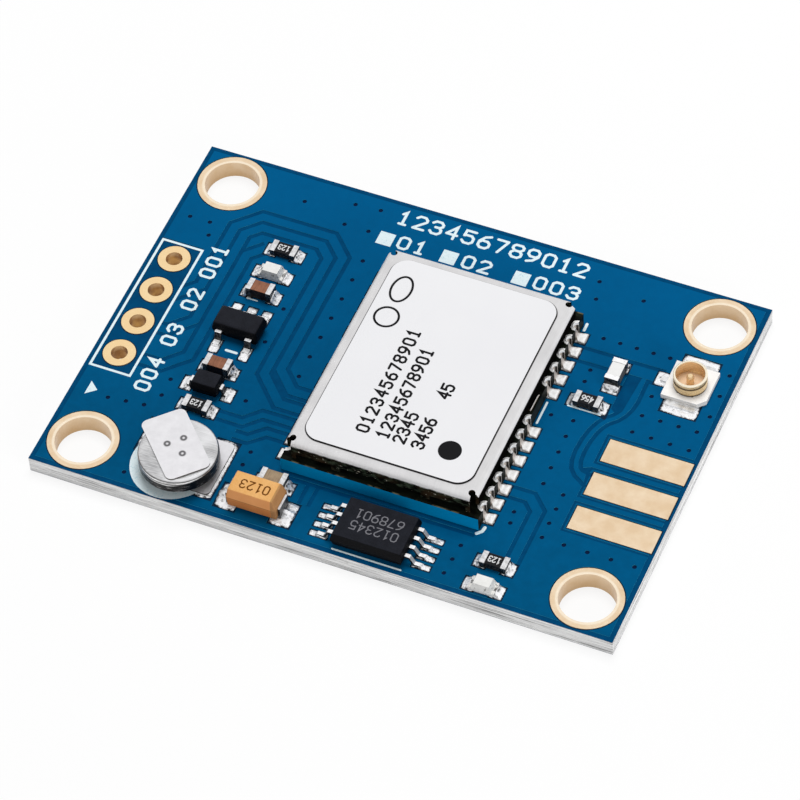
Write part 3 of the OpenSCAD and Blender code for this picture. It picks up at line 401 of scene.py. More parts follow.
for start, end, stroke in (
    ((8.32, 7.85), (8.32, 7.35), line),
    ((8.32, 1.63), (8.32, 0.04), 0.13),
    ((-10.62, -1.43), (-9.96, -1.43), line),
    ((0.92, -12.37), (5.12, -12.37), 0.11),
    ((9.5, 1.87), (11.5, 1.87), 0.1),
    ((-11.1, 2.6), (-10.45, 2.6), 0.1),
):
    ribbon(silk, [start, end], stroke)
corner_hook = [(8.40, -7.93), (8.36, -8.22), (8.12, -8.47)]
ribbon(silk, corner_hook, hook_line)
raise_print(silk, silk_foot, silk_top)
add_piece("screen_print", silk, screen_ink)
cell_disc = bmesh.new()
disc_middle, disc_radius = (-10.0, -10.15), 2.5
flat_area(cell_disc, round_outline(disc_middle, disc_radius, disc_radius))
raise_print(cell_disc, silk_foot, disc_top)
add_piece("cell_print", cell_disc, screen_ink)

# The rings, hole barrels and antenna pads are copper with a thin gold finish.
# The gold is pale and satin, with faint brushing along the pads; the barrels are painted darker brown
# deeper down as painted shade, and a bright band round the corner holes is a painted highlight.
mount_x, mount_y, lip_radius = 15.6, 10.4, 1.73
header_right, header_half, wall_top = -15.0, 5.5, 1.12


def away_from(x, y, middle_x, middle_y):
    """The distance from an upright axis, in millimetres."""
    return ((x - middle_x) ** 2 + (y - middle_y) ** 2) ** 0.5


gold, place = new_finish("pale_gold", Metallic=0.85)
brushed = grain(place, (1.6, 0.07, 0.4), 3.0)
stains = grain(place, 0.9, 3.0)
warm = mixed(between(stains, 0.35, 0.7), ink("#E5C9A5"), ink("#F1DBBD"))
x, y, z = axes_of(place)
depth_in = wall_top - z
upright = between(abs(facing(place)[2]), 0.7, 0.4)
header_row = (x < header_right) * (abs(y) < header_half)
# Painted shade: the hole barrels are painted darker brown deeper down, and the header holes darken sooner.
wide_hole_shade = 0.28 + between(depth_in, 0.0, 1.0) * 0.4
narrow_hole_shade = between(depth_in, -0.1, 0.35)
hole_shade = upright * (wide_hole_shade + header_row * (narrow_hole_shade - wide_hole_shade))
streaked = mixed(between(stains, 0.4, 0.65), ink("#8E6030"), ink("#C0904E"))
wall = mixed(header_row, ink("#AE8651"), streaked)
from_hole = away_from(abs(x), abs(y), mount_x, mount_y)
# A painted highlight: a pale band round the edge of each corner hole.
rim_highlight = (1 - between(abs(from_hole - lip_radius), 0.04, 0.12)) * (1 - upright)
highlighted_ring = mixed(rim_highlight * 0.7, warm, ink("#FDF1DC"))
plated = mixed(header_row, highlighted_ring, mixed(stains, ink("#F0CC94"), ink("#F8DFB2")))
set_finish(
    gold,
    Base_Color=mixed(hole_shade, plated, wall),
    Roughness=0.26 + brushed * 0.16,
    Normal=relief(brushed, 0.008),
)
eyelets = [f"{kind}_eyelet_{i}" for kind in ("corner", "header") for i in range(1, 5)]
cover(gold, "antenna_signal_pad", "antenna_ground_pads", *eyelets)

# Solder covers every land and climbs the ends of the parts in lumps. It froze bright, with
# small ripples and a few dull spots of flux, and its steep slopes carry dark specks as painted reflection.
solder, place = new_finish("bright_solder", Metallic=0.6)
ripples = grain(place, 0.22, 3.0, 0.6)
spots = grain(place, 0.4, 4.0, 0.65)
# Steep slopes get dark specks, a painted reflection of dark surroundings.
painted_dark_reflection = between(facing(place)[2], 0.93, 0.78)
froze = mixed(between(spots, 0.56, 0.70), ink("#F8F8FA"), ink("#7C7A78"))
set_finish(
    solder,
    Base_Color=mixed(painted_dark_reflection * between(ripples, 0.45, 0.6), froze, ink("#262524")),
    Roughness=0.20 + spots * 0.3,
    Normal=relief(ripples, 0.06),
)


def separate_solids(node):
    """The corner points of each separate solid of a CAD node, in millimetres."""
    shape = bmesh.new()
    shape.from_mesh(solids[node].data)
    bmesh.ops.remove_doubles(shape, verts=shape.verts, dist=0.0005 * MM)
    waiting = set(shape.verts)
    found = []
    for vertex in shape.verts[:]:
        if vertex not in waiting:
            continue
        waiting.discard(vertex)
        reached, points = [vertex], []
        while reached:
            here = reached.pop()
            points.append(here.co / MM)
            for edge in here.link_edges:
                other = edge.other_vert(here)
                if other in waiting:
                    waiting.discard(other)
                    reached.append(other)
        found.append(points)
    shape.free()
    return found


def height_sheet(shape, columns, rows, point_at, bottom):
    """Adds a closed lump from a grid of top points, with straight walls down to a level floor."""
    top = []
    for a in range(columns + 1):
        top.append([shape.verts.new(point_at(a / columns, b / rows)) for b in range(rows + 1)])
    for a in range(columns):
        for b in range(rows):
            face = shape.faces.new((top[a][b], top[a + 1][b], top[a + 1][b + 1], top[a][b + 1]))
            face.smooth = True
    edge = [top[a][0] for a in range(columns)] + [top[columns][b] for b in range(rows)]
    edge += [top[a][rows] for a in range(columns, 0, -1)] + [top[0][b] for b in range(rows, 0, -1)]
    foot = [shape.verts.new((v.co.x, v.co.y, bottom)) for v in edge]
    for i in range(len(edge)):
        j = (i + 1) % len(edge)
        shape.faces.new((edge[j], edge[i], foot[i], foot[j]))
    shape.faces.new(foot)


lumps = bmesh.new()
lump_foot, land_top = 1.16, 1.23
edge_drop, crown, ripple, corner_pull = 0.035, 0.045, 0.03, 0.16
for points in separate_solids("solder_lands"):
    low = Vector([min(p[i] for p in points) for i in range(3)])
    high = Vector([max(p[i] for p in points) for i in range(3)])
    middle = (low + high) / 2
    half = (high - low) / 2
    crest = [p for p in points if p.z > high.z - 0.001]
    rise = high.z - land_top
    peak = sum(crest, Vector()) / len(crest)
    lean = peak - middle
    run = 0 if abs(lean.x) > abs(lean.y) else 1
    side = 1 if lean[run] > 0 else -1

    def lump_point(a, b):
        s, t = 2 * a - 1, 2 * b - 1
        spread = Vector((s * math.sqrt(1 - corner_pull * t * t), t * math.sqrt(1 - corner_pull * s * s)))
        at = Vector((middle.x + half.x * spread.x, middle.y + half.y * spread.y, 0))
        rough = noise.noise(at * 5.0)
        dome = (1 - s ** 4) * (1 - t ** 4)
        top = land_top - edge_drop + dome * (crown + ripple * rough)
        if rise > 0.02:
            walk = (s, t)[run] * side
            reach = (peak[run] - middle[run]) * side / half[run]
            across = (t, s)[run]
            walked = max(0.0, min(1.0, (walk + 1) / (reach + 1)))
            past = max(0.0, walk - reach)
            climb = walked ** 2.2 * max(0.0, 1 - 8 * past)
            top += climb * rise * (1 - 0.3 * across * across) * (1 + 0.25 * rough)
        else:
            at.x += 0.02 * rough
        return (at.x, at.y, top)

    height_sheet(lumps, 14, 10, lump_point, lump_foot)
bmesh.ops.recalc_face_normals(lumps, faces=lumps.faces)
add_piece("solder_lumps", lumps, solder, ["solder_lands"])

# The receiver's own board is dark lacquered laminate under the shield, and its long sides are painted near
# black as painted shade.
# Its two short ends are trimmed flush with the lacquer; the front end is painted a bright blue, lightest
# near its foot, as painted light that offsets its shade, and the back end as blue as the main board.
receiver_x, receiver_y = 2.05, -0.25
receiver_edge, place = new_finish("receiver_laminate", Specular_IOR_Level=0.03, Roughness=0.45)
fibres = grain(place, (0.9, 0.9, 0.1), 4.0)
clumps = grain(place, (0.8, 0.3, 0.3), 3.0)
_, y, z = axes_of(place)
normal = facing(place)
# Painted shade on the long sides, and painted light on the front end.
shaded_sides = mixed(between(clumps, 0.35, 0.7), ink("#060706"), ink("#1B1F18"))
low_blue = mixed(fibres, ink("#0094CE"), ink("#009CD8"))
blue = mixed(between(z, 1.25, 2.0), low_blue, ink("#008AC2"))
ledge = between(abs(y - receiver_y), 7.90, 7.93) * between(normal[2], 0.5, 0.8)
front_blue = mixed(between(normal[1], 0.4, 0.6), blue, ink("#00609A"))
sides = mixed(between(abs(normal[1]), 0.4, 0.6), shaded_sides, front_blue)
set_finish(receiver_edge, Base_Color=mixed(ledge * between(fibres, 0.5, 0.6), sides, ink("#6E6A50")))
cover(receiver_edge, "receiver_board")

# Each terminal is a plated half hole, left in the side of that board when it was cut out.
# Its rim and wall are tinned, and the wall's far side is painted dark as painted shade.
tinned_rim, place = new_finish("tinned_rim", Metallic=0.15, Specular_IOR_Level=0.15)
worn = grain(place, 0.25, 3.0)
z = axes_of(place)[2]
rim = between(z, 2.06, 2.10)
lit_wall = mixed(worn, ink("#C3B8AD"), ink("#DAD0C6"))
barrel_with_shaded_back = mixed(between(-1 * facing(place)[1], 0.6, 0.9), lit_wall, ink("#2B2724"))
set_finish(
    tinned_rim,
    Base_Color=mixed(rim, barrel_with_shaded_back, mixed(worn, ink("#FBFAF9"), ink("#FFFFFF"))),
    Roughness=0.25 + worn * 0.2,
    Normal=relief(worn, 0.01),
)
cover(tinned_rim, "receiver_terminals")

rims = bmesh.new()
board_edge = {1: 8.15, -1: -4.05}
terminal_rows = [-7.25 + 1.1 * i for i in range(7)] + [6.75 - 1.1 * i for i in range(5)]
rim_radius, rim_tube, rim_z = 0.245, 0.045, 2.25
bends, sides_of_tube = 14, 8
for side, edge_x in board_edge.items():
    for terminal_y in terminal_rows:
        rings = []
        for k in range(bends + 1):
            turn = math.radians(90 + 180 * k / bends)
            ring = []
            for m in range(sides_of_tube):
                roll = 2 * math.pi * m / sides_of_tube
                out = rim_radius + rim_tube * math.cos(roll)
                at = (edge_x + side * out * math.cos(turn), terminal_y + out * math.sin(turn))
                ring.append(rims.verts.new((*at, rim_z + rim_tube * math.sin(roll))))
            rings.append(ring)
        for first, second in zip(rings, rings[1:]):
            for m in range(sides_of_tube):
                n = (m + 1) % sides_of_tube
                rims.faces.new((first[m], first[n], second[n], second[m])).smooth = True
        rims.faces.new(rings[0])
        rims.faces.new(rings[-1])
bmesh.ops.recalc_face_normals(rims, faces=rims.faces)
add_piece("terminal_rims", rims, tinned_rim)

# Solder lies on each land in a low block that reaches into the foot of the half hole.
# A thin bead of it also holds the foot of the shield between the two groups of terminals.
fillet_solder, place = new_finish("fillet_solder", Metallic=0.2)
specks = grain(place, 0.2, 3.0, 0.6)
steep = between(facing(place)[2], 0.85, 0.5)
clean = mixed(between(specks, 0.35, 0.7), ink("#EEEDEC"), ink("#FFFFFF"))
set_finish(
    fillet_solder,
    Base_Color=mixed(steep, clean, ink("#C9BEB4")),
    Roughness=0.22 + specks * 0.2,
    Normal=relief(specks, 0.03),
)
fillets = bmesh.new()
hole_radius, land_half, land_out, flare_run = 0.19, 0.37, 0.58, 0.16
fillet_foot, fillet_top, climb, climb_run, gap_width = 1.2, 1.25, 0.6, 0.42, 0.12
for side, edge_x in board_edge.items():
    for terminal_y in terminal_rows:

        def fillet_point(a, b):
            out = -hole_radius + a * (land_out + hole_radius)
            t = 2 * b - 1
            if out < 0:
                half = math.sqrt(max(0.0, hole_radius ** 2 - out ** 2)) + 0.01
            else:
                flare = min(1.0, out / flare_run)
                half = hole_radius + (land_half - hole_radius) * flare * flare * (3 - 2 * flare)
            fall = max(0.0, min(1.0, (out + hole_radius) / climb_run))
            shoulder = 1 - 0.5 * t ** 12
            rough = noise.noise(Vector((edge_x + out, terminal_y + t * half, 0)) * 4.0)
            top = fillet_top + 0.008 * rough + (climb * (1 - fall) ** 2 + 0.1 * (1 - a ** 16)) * shoulder
            back_gap = gap_width * max(0.0, min(1.0, out / 0.05)) * max(0.0, 1 - out / 0.5)
            return (edge_x + side * out, terminal_y + t * half - (back_gap if t > 0 else 0) * t, top)

        height_sheet(fillets, 18, 8, fillet_point, fillet_foot)

bead_x, bead_y, bead_half, bead_foot, bead_level = 7.985, 0.62, 0.64, 2.23, 2.24


def bead_point(a, b):
    along, t = 2 * a - 1, 2 * b - 1
    swell = 0.09 * math.sqrt(max(0.0, 1 - along ** 6)) * (1 - t * t)
    return (bead_x + 0.035 * t + 0.03 * along ** 5, bead_y + bead_half * along, bead_level + swell)


height_sheet(fillets, 12, 4, bead_point, bead_foot)
bmesh.ops.recalc_face_normals(fillets, faces=fillets.faces)
add_piece("receiver_fillets", fillets, fillet_solder, ["receiver_solder"])

# Under the shield sit the receiver's main chip, an oscillator can and a filter block.
# The chip is moulded in the same black resin as the memory, the regulator and the diode, and the can
# is tinned like the ends of the small chips.
resin, place = new_finish("black_resin", Specular_IOR_Level=0.08)
speckle = grain(place, 0.06, 3.0, 0.7)
mould = grain(place, 0.6, 3.0)
top = between(facing(place)[2], 0.5, 0.9)
charcoal = mixed(between(speckle * 0.6 + mould * 0.4, 0.35, 0.65), ink("#15161B"), ink("#22242B"))
# The resin's sides are painted nearly black, darker than its top, as painted shade.
set_finish(
    resin,
    Base_Color=mixed(top, ink("#040406"), charcoal),
    Roughness=0.42 + speckle * 0.25,
    Normal=relief(speckle, 0.02),
)
cover(resin, "receiver_chip")

tin, place = new_finish("dull_tin", Metallic=0.75)
smears = grain(place, 0.2, 3.0)
patchy = grain(place, 0.16, 4.0, 0.7)
top = between(facing(place)[2], 0.2, 0.7)
bright = mixed(between(smears, 0.4, 0.75), ink("#E6E6E8"), ink("#B8B7B6"))
shaded = mixed(between(patchy, 0.44, 0.66), ink("#191817"), ink("#767472"))
set_finish(
    tin,
    Base_Color=mixed(top, shaded, bright),
    Roughness=0.22 + smears * 0.25,
    Normal=relief(smears, 0.02),
)
cover(tin, "receiver_oscillator")

# The shield is one piece of thin tinned sheet, folded down on four sides with open corners.
# Rolling marks run along the top and the bends are polished. The walls are painted dark as painted shade
# and painted reflection.
shield, place = new_finish("tinned_sheet", Specular_IOR_Level=0.0)
rolled = grain(place, (0.05, 2.2, 0.6), 3.0)
patches = grain(place, 1.8, 3.0)
wall_mottle = grain(place, (0.5, 0.5, 0.25), 4.0, 0.6)
fleck_noise = grain(place, (0.3, 0.3, 0.2), 3.0, 0.6)
x, y, _ = axes_of(place)
normal = facing(place)
ends = between(abs(normal[1]), 0.3, 0.6)
top = between(normal[2] + ends * wall_mottle * 0.3, 0.24, 0.36)
silver = mixed(between(patches * 0.7 + rolled * 0.3, 0.36, 0.64), ink("#D3D2D3"), ink("#E1E0E1"))
label_straight_x, label_straight_y, label_corner = 4.15, 6.05, 1.0
past_x = abs(x - receiver_x) - label_straight_x
past_y = abs(y - receiver_y) - label_straight_y
past_x = past_x.math("MAXIMUM", past_x, 0.0)
past_y = past_y.math("MAXIMUM", past_y, 0.0)
label_gap = (past_x ** 2 + past_y ** 2) ** 0.5 - label_corner
# A painted shadow: a thin dark line on the shield round the label's edge.
silver_with_label_shadow = mixed(between(label_gap, 0.09, 0.05), silver, ink("#3B393A"))
# Painted shade and reflection: near black on the side walls; mottled dark, brown and olive tones with pale
# flecks on the end walls.
dark_reflection = mixed(between(wall_mottle, 0.48, 0.66), ink("#0A0A08"), ink("#3A4436"))
brown_reflection = mixed(between(patches, 0.5, 0.7), dark_reflection, ink("#33261A"))
flecked = mixed(between(fleck_noise, 0.64, 0.70), brown_reflection, ink("#B5AF9F"))
wall = mixed(ends, ink("#0A0908"), flecked)
set_finish(
    shield,
    Base_Color=mixed(top, wall, silver_with_label_shadow),
    Metallic=top * between(normal[2], 0.6, 0.95) * 0.95,
    Roughness=0.24 + patches * 0.16,
    Normal=relief(rolled * 0.5 + patches * 0.5, 0.012),
)
cover(shield, "receiver_shield")

# The label is a white film with rounded corners, pressed onto the shield. Its cut edge is painted dark as
# painted shadow.
# It is printed in black with counting figures, two plain rings and a dot that marks the first terminal.
film, place = new_finish("label_film", Specular_IOR_Level=0.12)
tooth = grain(place, 0.05, 3.0)
shade = grain(place, 5.0, 2.0)
up = facing(place)[2]
paper = mixed(shade, ink("#E8E8EB"), ink("#EEEEF0"))
set_finish(
    film,
    # The film's cut edge is painted dark as painted shadow.
    Base_Color=mixed(between(up, 0.4, 0.8), ink("#2C2B2C"), paper),
    Roughness=0.45 + tooth * 0.15,
    Normal=relief(tooth, 0.004),
)
label_top, figures_top = 3.688, 3.699
sheet = cad_copy("receiver_label")
for vertex in sheet.verts:
    vertex.co.z = min(vertex.co.z, label_top)
add_piece("label_sheet", sheet, film, ["receiver_label"])


def printing_ink(name, dot, low, high, detail=3.0, dullness=0.5):
    """A thin ink whose tone varies between two colours in dots of that size."""
    finish, place = new_finish(name, Specular_IOR_Level=0.1)
    dots = grain(place, dot, detail)
    set_finish(finish, Base_Color=mixed(dots, ink(low), ink(high)), Roughness=dullness + dots * 0.2)
    return finish


label_ink = printing_ink("label_ink", 0.05, "#08080A", "#19191B", detail=2.0, dullness=0.4)
label_print = bmesh.new()
figure_line, ring_line = 0.14, 0.135
for text, start, pitch in (
    ("012345678901", (0.385, -5.79), 0.672),
    ("12345678901", (1.635, -5.79), 0.636),
    ("2345", (2.64, -5.79), 0.59),
    ("3456", (3.775, -5.79), 0.59),
    ("45", (3.775, -1.95), 0.57),
):
    write_figures(label_print, text, start, 90, size=(0.40, 0.69), pitch=pitch, stroke=figure_line)
for middle, radius_x, radius_y in (((-1.93, 4.59), 0.60, 0.955), ((-1.93, 2.38), 0.72, 0.72)):
    outline = round_outline(middle, radius_x, radius_y)
    ribbon(label_print, outline + outline[:1], ring_line)
dot_middle, dot_radius = (5.27, -5.30), 0.68
flat_area(label_print, round_outline(dot_middle, dot_radius, dot_radius))
raise_print(label_print, label_top - 0.002, figures_top)
add_piece("label_print", label_print, label_ink)

# The backup cell is a drawn steel can closed by a cap with a black seal between them.
# Its lid is brushed along one direction and darker than the strip welded to it.
cell_x, cell_y = -9.55, -10.1
steel, place = new_finish("drawn_steel", Metallic=0.8)
turned = grain(place, (0.9, 0.05, 0.9), 4.0)
dents = grain(place, 1.4, 3.0)
scuffs = grain(place, (0.5, 0.5, 0.06), 4.0, 0.65)
x, y, z = axes_of(place)
top = between(facing(place)[2], 0.5, 0.9)
lid = mixed(between(turned * 0.6 + dents * 0.4, 0.38, 0.64), ink("#9C9C9E"), ink("#E2E2E3"))
# A painted reflection: the lid is painted lighter towards its right, except for a grey wedge.
turn = x.math("ARCTAN2", y - cell_y, x - cell_x)
glare = 1 - between(abs(turn - 0.3), 0.1, 0.4)
lid_with_painted_sheen = mixed(between(x, -10.2, -8.4) * (1 - glare) * 0.75, lid, ink("#EDEDEF"))
bright_wall = mixed(between(scuffs, 0.42, 0.6), ink("#A9A8A8"), ink("#F4F4F4"))
shaded_wall = mixed(between(scuffs, 0.57, 0.66), ink("#0C0C0E"), ink("#8D8C8B"))
# Painted shade: the wall is painted dark below its upper band, higher up on its right side, and in dark
# lines at the grooves.
rightward = between(x, -9.0, -7.6) * 0.22
wall = mixed(between(z - rightward, 2.38, 2.30), bright_wall, shaded_wall)
for groove_z in (2.63, 2.45):
    groove = 1 - between(abs(z - groove_z), 0.02, 0.05)
    wall = mixed(groove, wall, ink("#1B1B1C"))
set_finish(
    steel,
    Base_Color=mixed(top, wall, lid_with_painted_sheen),
    Roughness=0.22 + dents * 0.2,
    Normal=relief(turned, 0.015),
)
cover(steel, "cell_can", "cell_cap")

seal, place = new_finish("black_seal", Roughness=0.6, Specular_IOR_Level=0.12)
pores = grain(place, 0.08, 2.0)
set_finish(seal, Base_Color=mixed(pores, ink("#0C0C0D"), ink("#1C1C1E")))
cover(seal, "cell_gasket")

# A nickel strip is spot welded to the top of the cell and another one to its bottom.
# The three welds on top left small round dents with burnt rims.
strip, place = new_finish("nickel_strip", Metallic=0.6)
x, y, z = axes_of(place)
satin = grain(place, 0.5, 4.0)
weld_radius, weld_mark = 0.14, None
for weld_x, weld_y in ((-9.57, -9.29), (-10.28, -10.0), (-9.17, -10.33)):
    burnt = (1 - between(abs(away_from(x, y, weld_x, weld_y) - weld_radius), 0.03, 0.10)) * (z > 2.8)
    weld_mark = burnt if weld_mark is None else weld_mark.math("MAXIMUM", weld_mark, burnt)
top = between(facing(place)[2], 0.5, 0.9)
nickel = mixed(between(satin, 0.35, 0.7), ink("#E2E1E4"), ink("#ECEBEE"))
# The strip's cut edges are painted dark grey as painted shade.
cut = mixed(top, ink("#55524E"), nickel)
set_finish(
    strip,
    Base_Color=mixed(weld_mark * 0.9, cut, ink("#4A494B")),
    Roughness=0.36 + satin * 0.12,
    Normal=relief(satin * 0.2 - weld_mark, 0.04),
)
cover(strip, "cell_top_tab", "cell_bottom_tab")

# The tantalum capacitor is moulded in yellow resin around its two tinned ends.
# A brown bar printed across one end marks the positive side, and figures give its value.
amber, place = new_finish("amber_resin", Specular_IOR_Level=0.12)
x, _, z = axes_of(place)
pits = grain(place, 0.07, 3.0, 0.7)
flow = grain(place, 0.9, 3.0)
top = between(facing(place)[2], 0.5, 0.9)
yellow = mixed(between(pits * 0.5 + flow * 0.5, 0.35, 0.65), ink("#E0A55F"), ink("#F0BB7A"))
# The sides are painted darker than the top, and their lower half darker still, as painted shade.
upper = mixed(flow, ink("#D08A50"), ink("#E09F66"))
lower = mixed(flow, ink("#AE6A38"), ink("#C68048"))
side = mixed(between(z, 2.00, 2.06), lower, upper)
seam = 1 - between(abs(z - 2.08), 0.015, 0.045)
body = mixed(top, mixed(seam * 0.7, side, ink("#6E3F1B")), yellow)
bar = between(x, -3.12, -3.06)
set_finish(
    amber,
    Base_Color=mixed(bar * 0.7, body, ink("#93714C")),
    Roughness=0.45 + pits * 0.2,
    Normal=relief(pits, 0.02),
)


def soften(node, radius, finish):
    """Shows a copy of a CAD node with its edges rounded off."""
    flat, corner = math.radians(1), math.radians(20)
    shape = cad_copy(node)
    bmesh.ops.dissolve_limit(shape, angle_limit=flat, verts=shape.verts, edges=shape.edges)
    sharp = [e for e in shape.edges if e.is_manifold and e.calc_face_angle(0.0) > corner]
    rounded = bmesh.ops.bevel(
        shape, geom=sharp, offset=radius, segments=3, profile=0.5, affect="EDGES", clamp_overlap=True
    )
    for face in rounded["faces"]:
        face.smooth = True
    add_piece(f"{node}_rounded", shape, finish, [node])


soften("tantalum_body", 0.05, amber)
soften("tantalum_leads", 0.03, tin)

brown_ink = printing_ink("brown_ink", 0.1, "#7A4814", "#5A330C")
value_foot, value_top = 2.826, 2.836
value_print = bmesh.new()
write_figures(value_print, "0123", (-3.44, -10.77), 180, size=(0.31, 0.57), pitch=0.475, stroke=0.085)
raise_print(value_print, value_foot, value_top)
add_piece("tantalum_print", value_print, brown_ink)

# The coaxial socket has a white moulded base, a gold ring on soldered feet and a gold pin.
# Inside the ring the base is painted the colour of the gold around it, as painted reflection.
socket_x, socket_y = 15.6, 5.6
moulded_white, place = new_finish("white_moulding", Specular_IOR_Level=0.12)
x, y, _ = axes_of(place)
mottle = grain(place, 0.5, 3.0)
top = between(facing(place)[2], 0.3, 0.8)
inside = between(away_from(x, y, socket_x, socket_y), 0.95, 0.90)
chalk = mixed(mottle, ink("#F2F0EE"), ink("#FFFEFD"))
floor_with_gold_reflection = mixed(inside, chalk, ink("#EBCFB0"))
set_finish(
    moulded_white,
    Base_Color=mixed(top, mixed(mottle, ink("#D6D3CF"), ink("#E8E5E2")), floor_with_gold_reflection),
    Roughness=0.4 + mottle * 0.2,
    Normal=relief(mottle, 0.02),
)
soften("coax_base", 0.04, moulded_white)

bright_gold, place = new_finish("bright_gold", Metallic=0.55)
turned = grain(place, (0.5, 0.5, 0.05), 3.0)
smudges = grain(place, 0.3, 3.0)
x, y, z = axes_of(place)
inside = between(away_from(x, y, socket_x, socket_y), 0.93, 0.90)
lit_and_shaded_tan = mixed(turned, ink("#C9A771"), ink("#EAD2A6"))
for dark_z in (1.63, 2.13):
    shadowed = 1 - between(abs(z - dark_z), 0.05, 0.08)
    lit_and_shaded_tan = mixed(shadowed * 0.9, lit_and_shaded_tan, ink("#3E2D18"))
# Painted light: the ring's inside is painted lighter, and its top edge near white as a painted highlight.
lit_and_shaded_tan = mixed(inside, lit_and_shaded_tan, mixed(turned, ink("#E6C592"), ink("#F6E0BC")))
lit_and_shaded_tan = mixed(between(z, 2.40, 2.44), lit_and_shaded_tan, ink("#F5EAD3"))
tinned = mixed(between(smudges, 0.4, 0.7), ink("#F0F0F1"), ink("#BEBDBB"))
set_finish(
    bright_gold,
    Base_Color=mixed(between(z, 1.57, 1.59), tinned, lit_and_shaded_tan),
    Roughness=0.18 + turned * 0.15,
    Normal=relief(turned, 0.008),
)
cover(bright_gold, "coax_shell", "coax_pin")

# The memory chip, the regulator and the diode are moulded over tinned leads that bend down to the board.
# The memory has two rows of grey figures marked on its top.
soften("memory_body", 0.04, resin)
soften("regulator_body", 0.12, resin)
soften("diode_body", 0.07, resin)
bright_tin, place = new_finish("bright_tin", Metallic=0.5)
smears = grain(place, 0.15, 3.0)
top = between(facing(place)[2], 0.3, 0.7)
white_top = mixed(between(smears, 0.55, 0.75), ink("#FCFCFD"), ink("#C9C8C8"))
# The leads' sides are painted nearly black, far darker than their tops, as painted shade.
set_finish(
    bright_tin,
    Base_Color=mixed(top, mixed(between(smears, 0.45, 0.65), ink("#131212"), ink("#5C5A58")), white_top),
    Roughness=0.22 + smears * 0.25,
    Normal=relief(smears, 0.02),
)
for leads in ("memory_leads", "regulator_leads", "diode_leads"):
    soften(leads, 0.02, bright_tin)

grey_ink = printing_ink("grey_ink", 0.08, "#5A5A60", "#8C8C92")
mark_foot, mark_top = 2.306, 2.316
chip_print = bmesh.new()
for text, start_y in (("012345", -10.85), ("678901", -10.0)):
    write_figures(chip_print, text, (4.45, start_y), 180, size=(0.34, 0.58), pitch=0.5, stroke=0.07)
raise_print(chip_print, mark_foot, mark_top)
add_piece("memory_print", chip_print, grey_ink)

# A resistor is a ceramic chip with a black glaze over its film and a tinned cap on each end.
# Its value is printed on the glaze in white figures, and the caps are soldered to two lands.
glaze, place = new_finish("black_glaze", Specular_IOR_Level=0.14)
z = axes_of(place)[2]
cast = grain(place, 0.12, 3.0)
top = between(z, 1.62, 1.68)
# The resistor's sides below the glaze are painted dark as painted shade.
shaded_side = mixed(between(cast, 0.45, 0.7), ink("#0C0C0D"), ink("#3C3B3A"))
set_finish(
    glaze,
    Base_Color=mixed(top, shaded_side, mixed(cast, ink("#0E0E10"), ink("#1D1D20"))),
    Roughness=0.32 + cast * 0.2,
    Normal=relief(cast, 0.02),
)
white_ink = printing_ink("white_ink", 0.06, "#B9B9BB", "#F4F4F4")
number_foot, number_top = 1.726, 1.736
resistor_places = {1: (-10.4, 6.5), 2: (-10.4, -5.95), 3: (10.55, 2.35), 4: (9.93, -10.15)}
for number, (middle_x, middle_y) in resistor_places.items():
    soften(f"resistor_{number}_body", 0.03, glaze)
    soften(f"resistor_{number}_ends", 0.04, tin)
    mark = bmesh.new()
    text = "456" if number == 3 else "123"
    start = (middle_x + 0.33, middle_y + 0.17)
    write_figures(mark, text, start, 180, size=(0.17, 0.36), pitch=0.25, stroke=0.068)
    raise_print(mark, number_foot, number_top)
    add_piece(f"resistor_{number}_print", mark, white_ink)

# A ceramic capacitor is a block of thin plies, fired together and dipped in tin at both ends.
# Two of them and the receiver's filter are brown, and the third one is greyer.
for name, slot, pale_tone, deep_tone, numbers in (
    ("brown_ceramic", "ceramic", "#9C6A52", "#77503E", (1, 2)),
    ("grey_ceramic", "grey_ceramic", "#AB967B", "#8D7B65", (3,)),
):
    fired, place = new_finish(name, Specular_IOR_Level=0.14)
    plies = grain(place, (0.05, 0.6, 0.6), 3.0)
    blotch = grain(place, 0.35, 3.0)
    top = between(facing(place)[2], 0.5, 0.9)
    face = mixed(between(plies * 0.5 + blotch * 0.5, 0.36, 0.64), ink(deep_tone), ink(pale_tone))
    # Their sides are painted nearly black as painted shade.
    set_finish(
        fired,
        Base_Color=mixed(1 - top, face, mixed(blotch, ink("#0B0706"), ink("#21150F"))),
        Roughness=0.3 + blotch * 0.2,
        Normal=relief(plies, 0.015),
    )
    if slot == "ceramic":
        cover(fired, "receiver_filter")
    for number in numbers:
        soften(f"capacitor_{number}_body", 0.03, fired)
        soften(f"capacitor_{number}_ends", 0.05, tin)

# The inductor is a block of white ceramic with a coil fired into it.
# Its ends are dipped in tin and soldered, and its sides are painted much greyer than its top as painted
# shade.
porcelain, place = new_finish("white_ceramic", Specular_IOR_Level=0.14)
glazing = grain(place, 0.3, 3.0)
top = between(facing(place)[2], 0.2, 0.7)
shaded = mixed(glazing, ink("#3A3938"), ink("#6E6C6A"))
set_finish(
    porcelain,
    Base_Color=mixed(top, shaded, mixed(glazing, ink("#E8E8E7"), ink("#F3F3F2"))),
    Roughness=0.3 + glazing * 0.2,
    Normal=relief(glazing, 0.02),
)
soften("inductor_body", 0.03, porcelain)
soften("inductor_ends", 0.03, bright_tin)

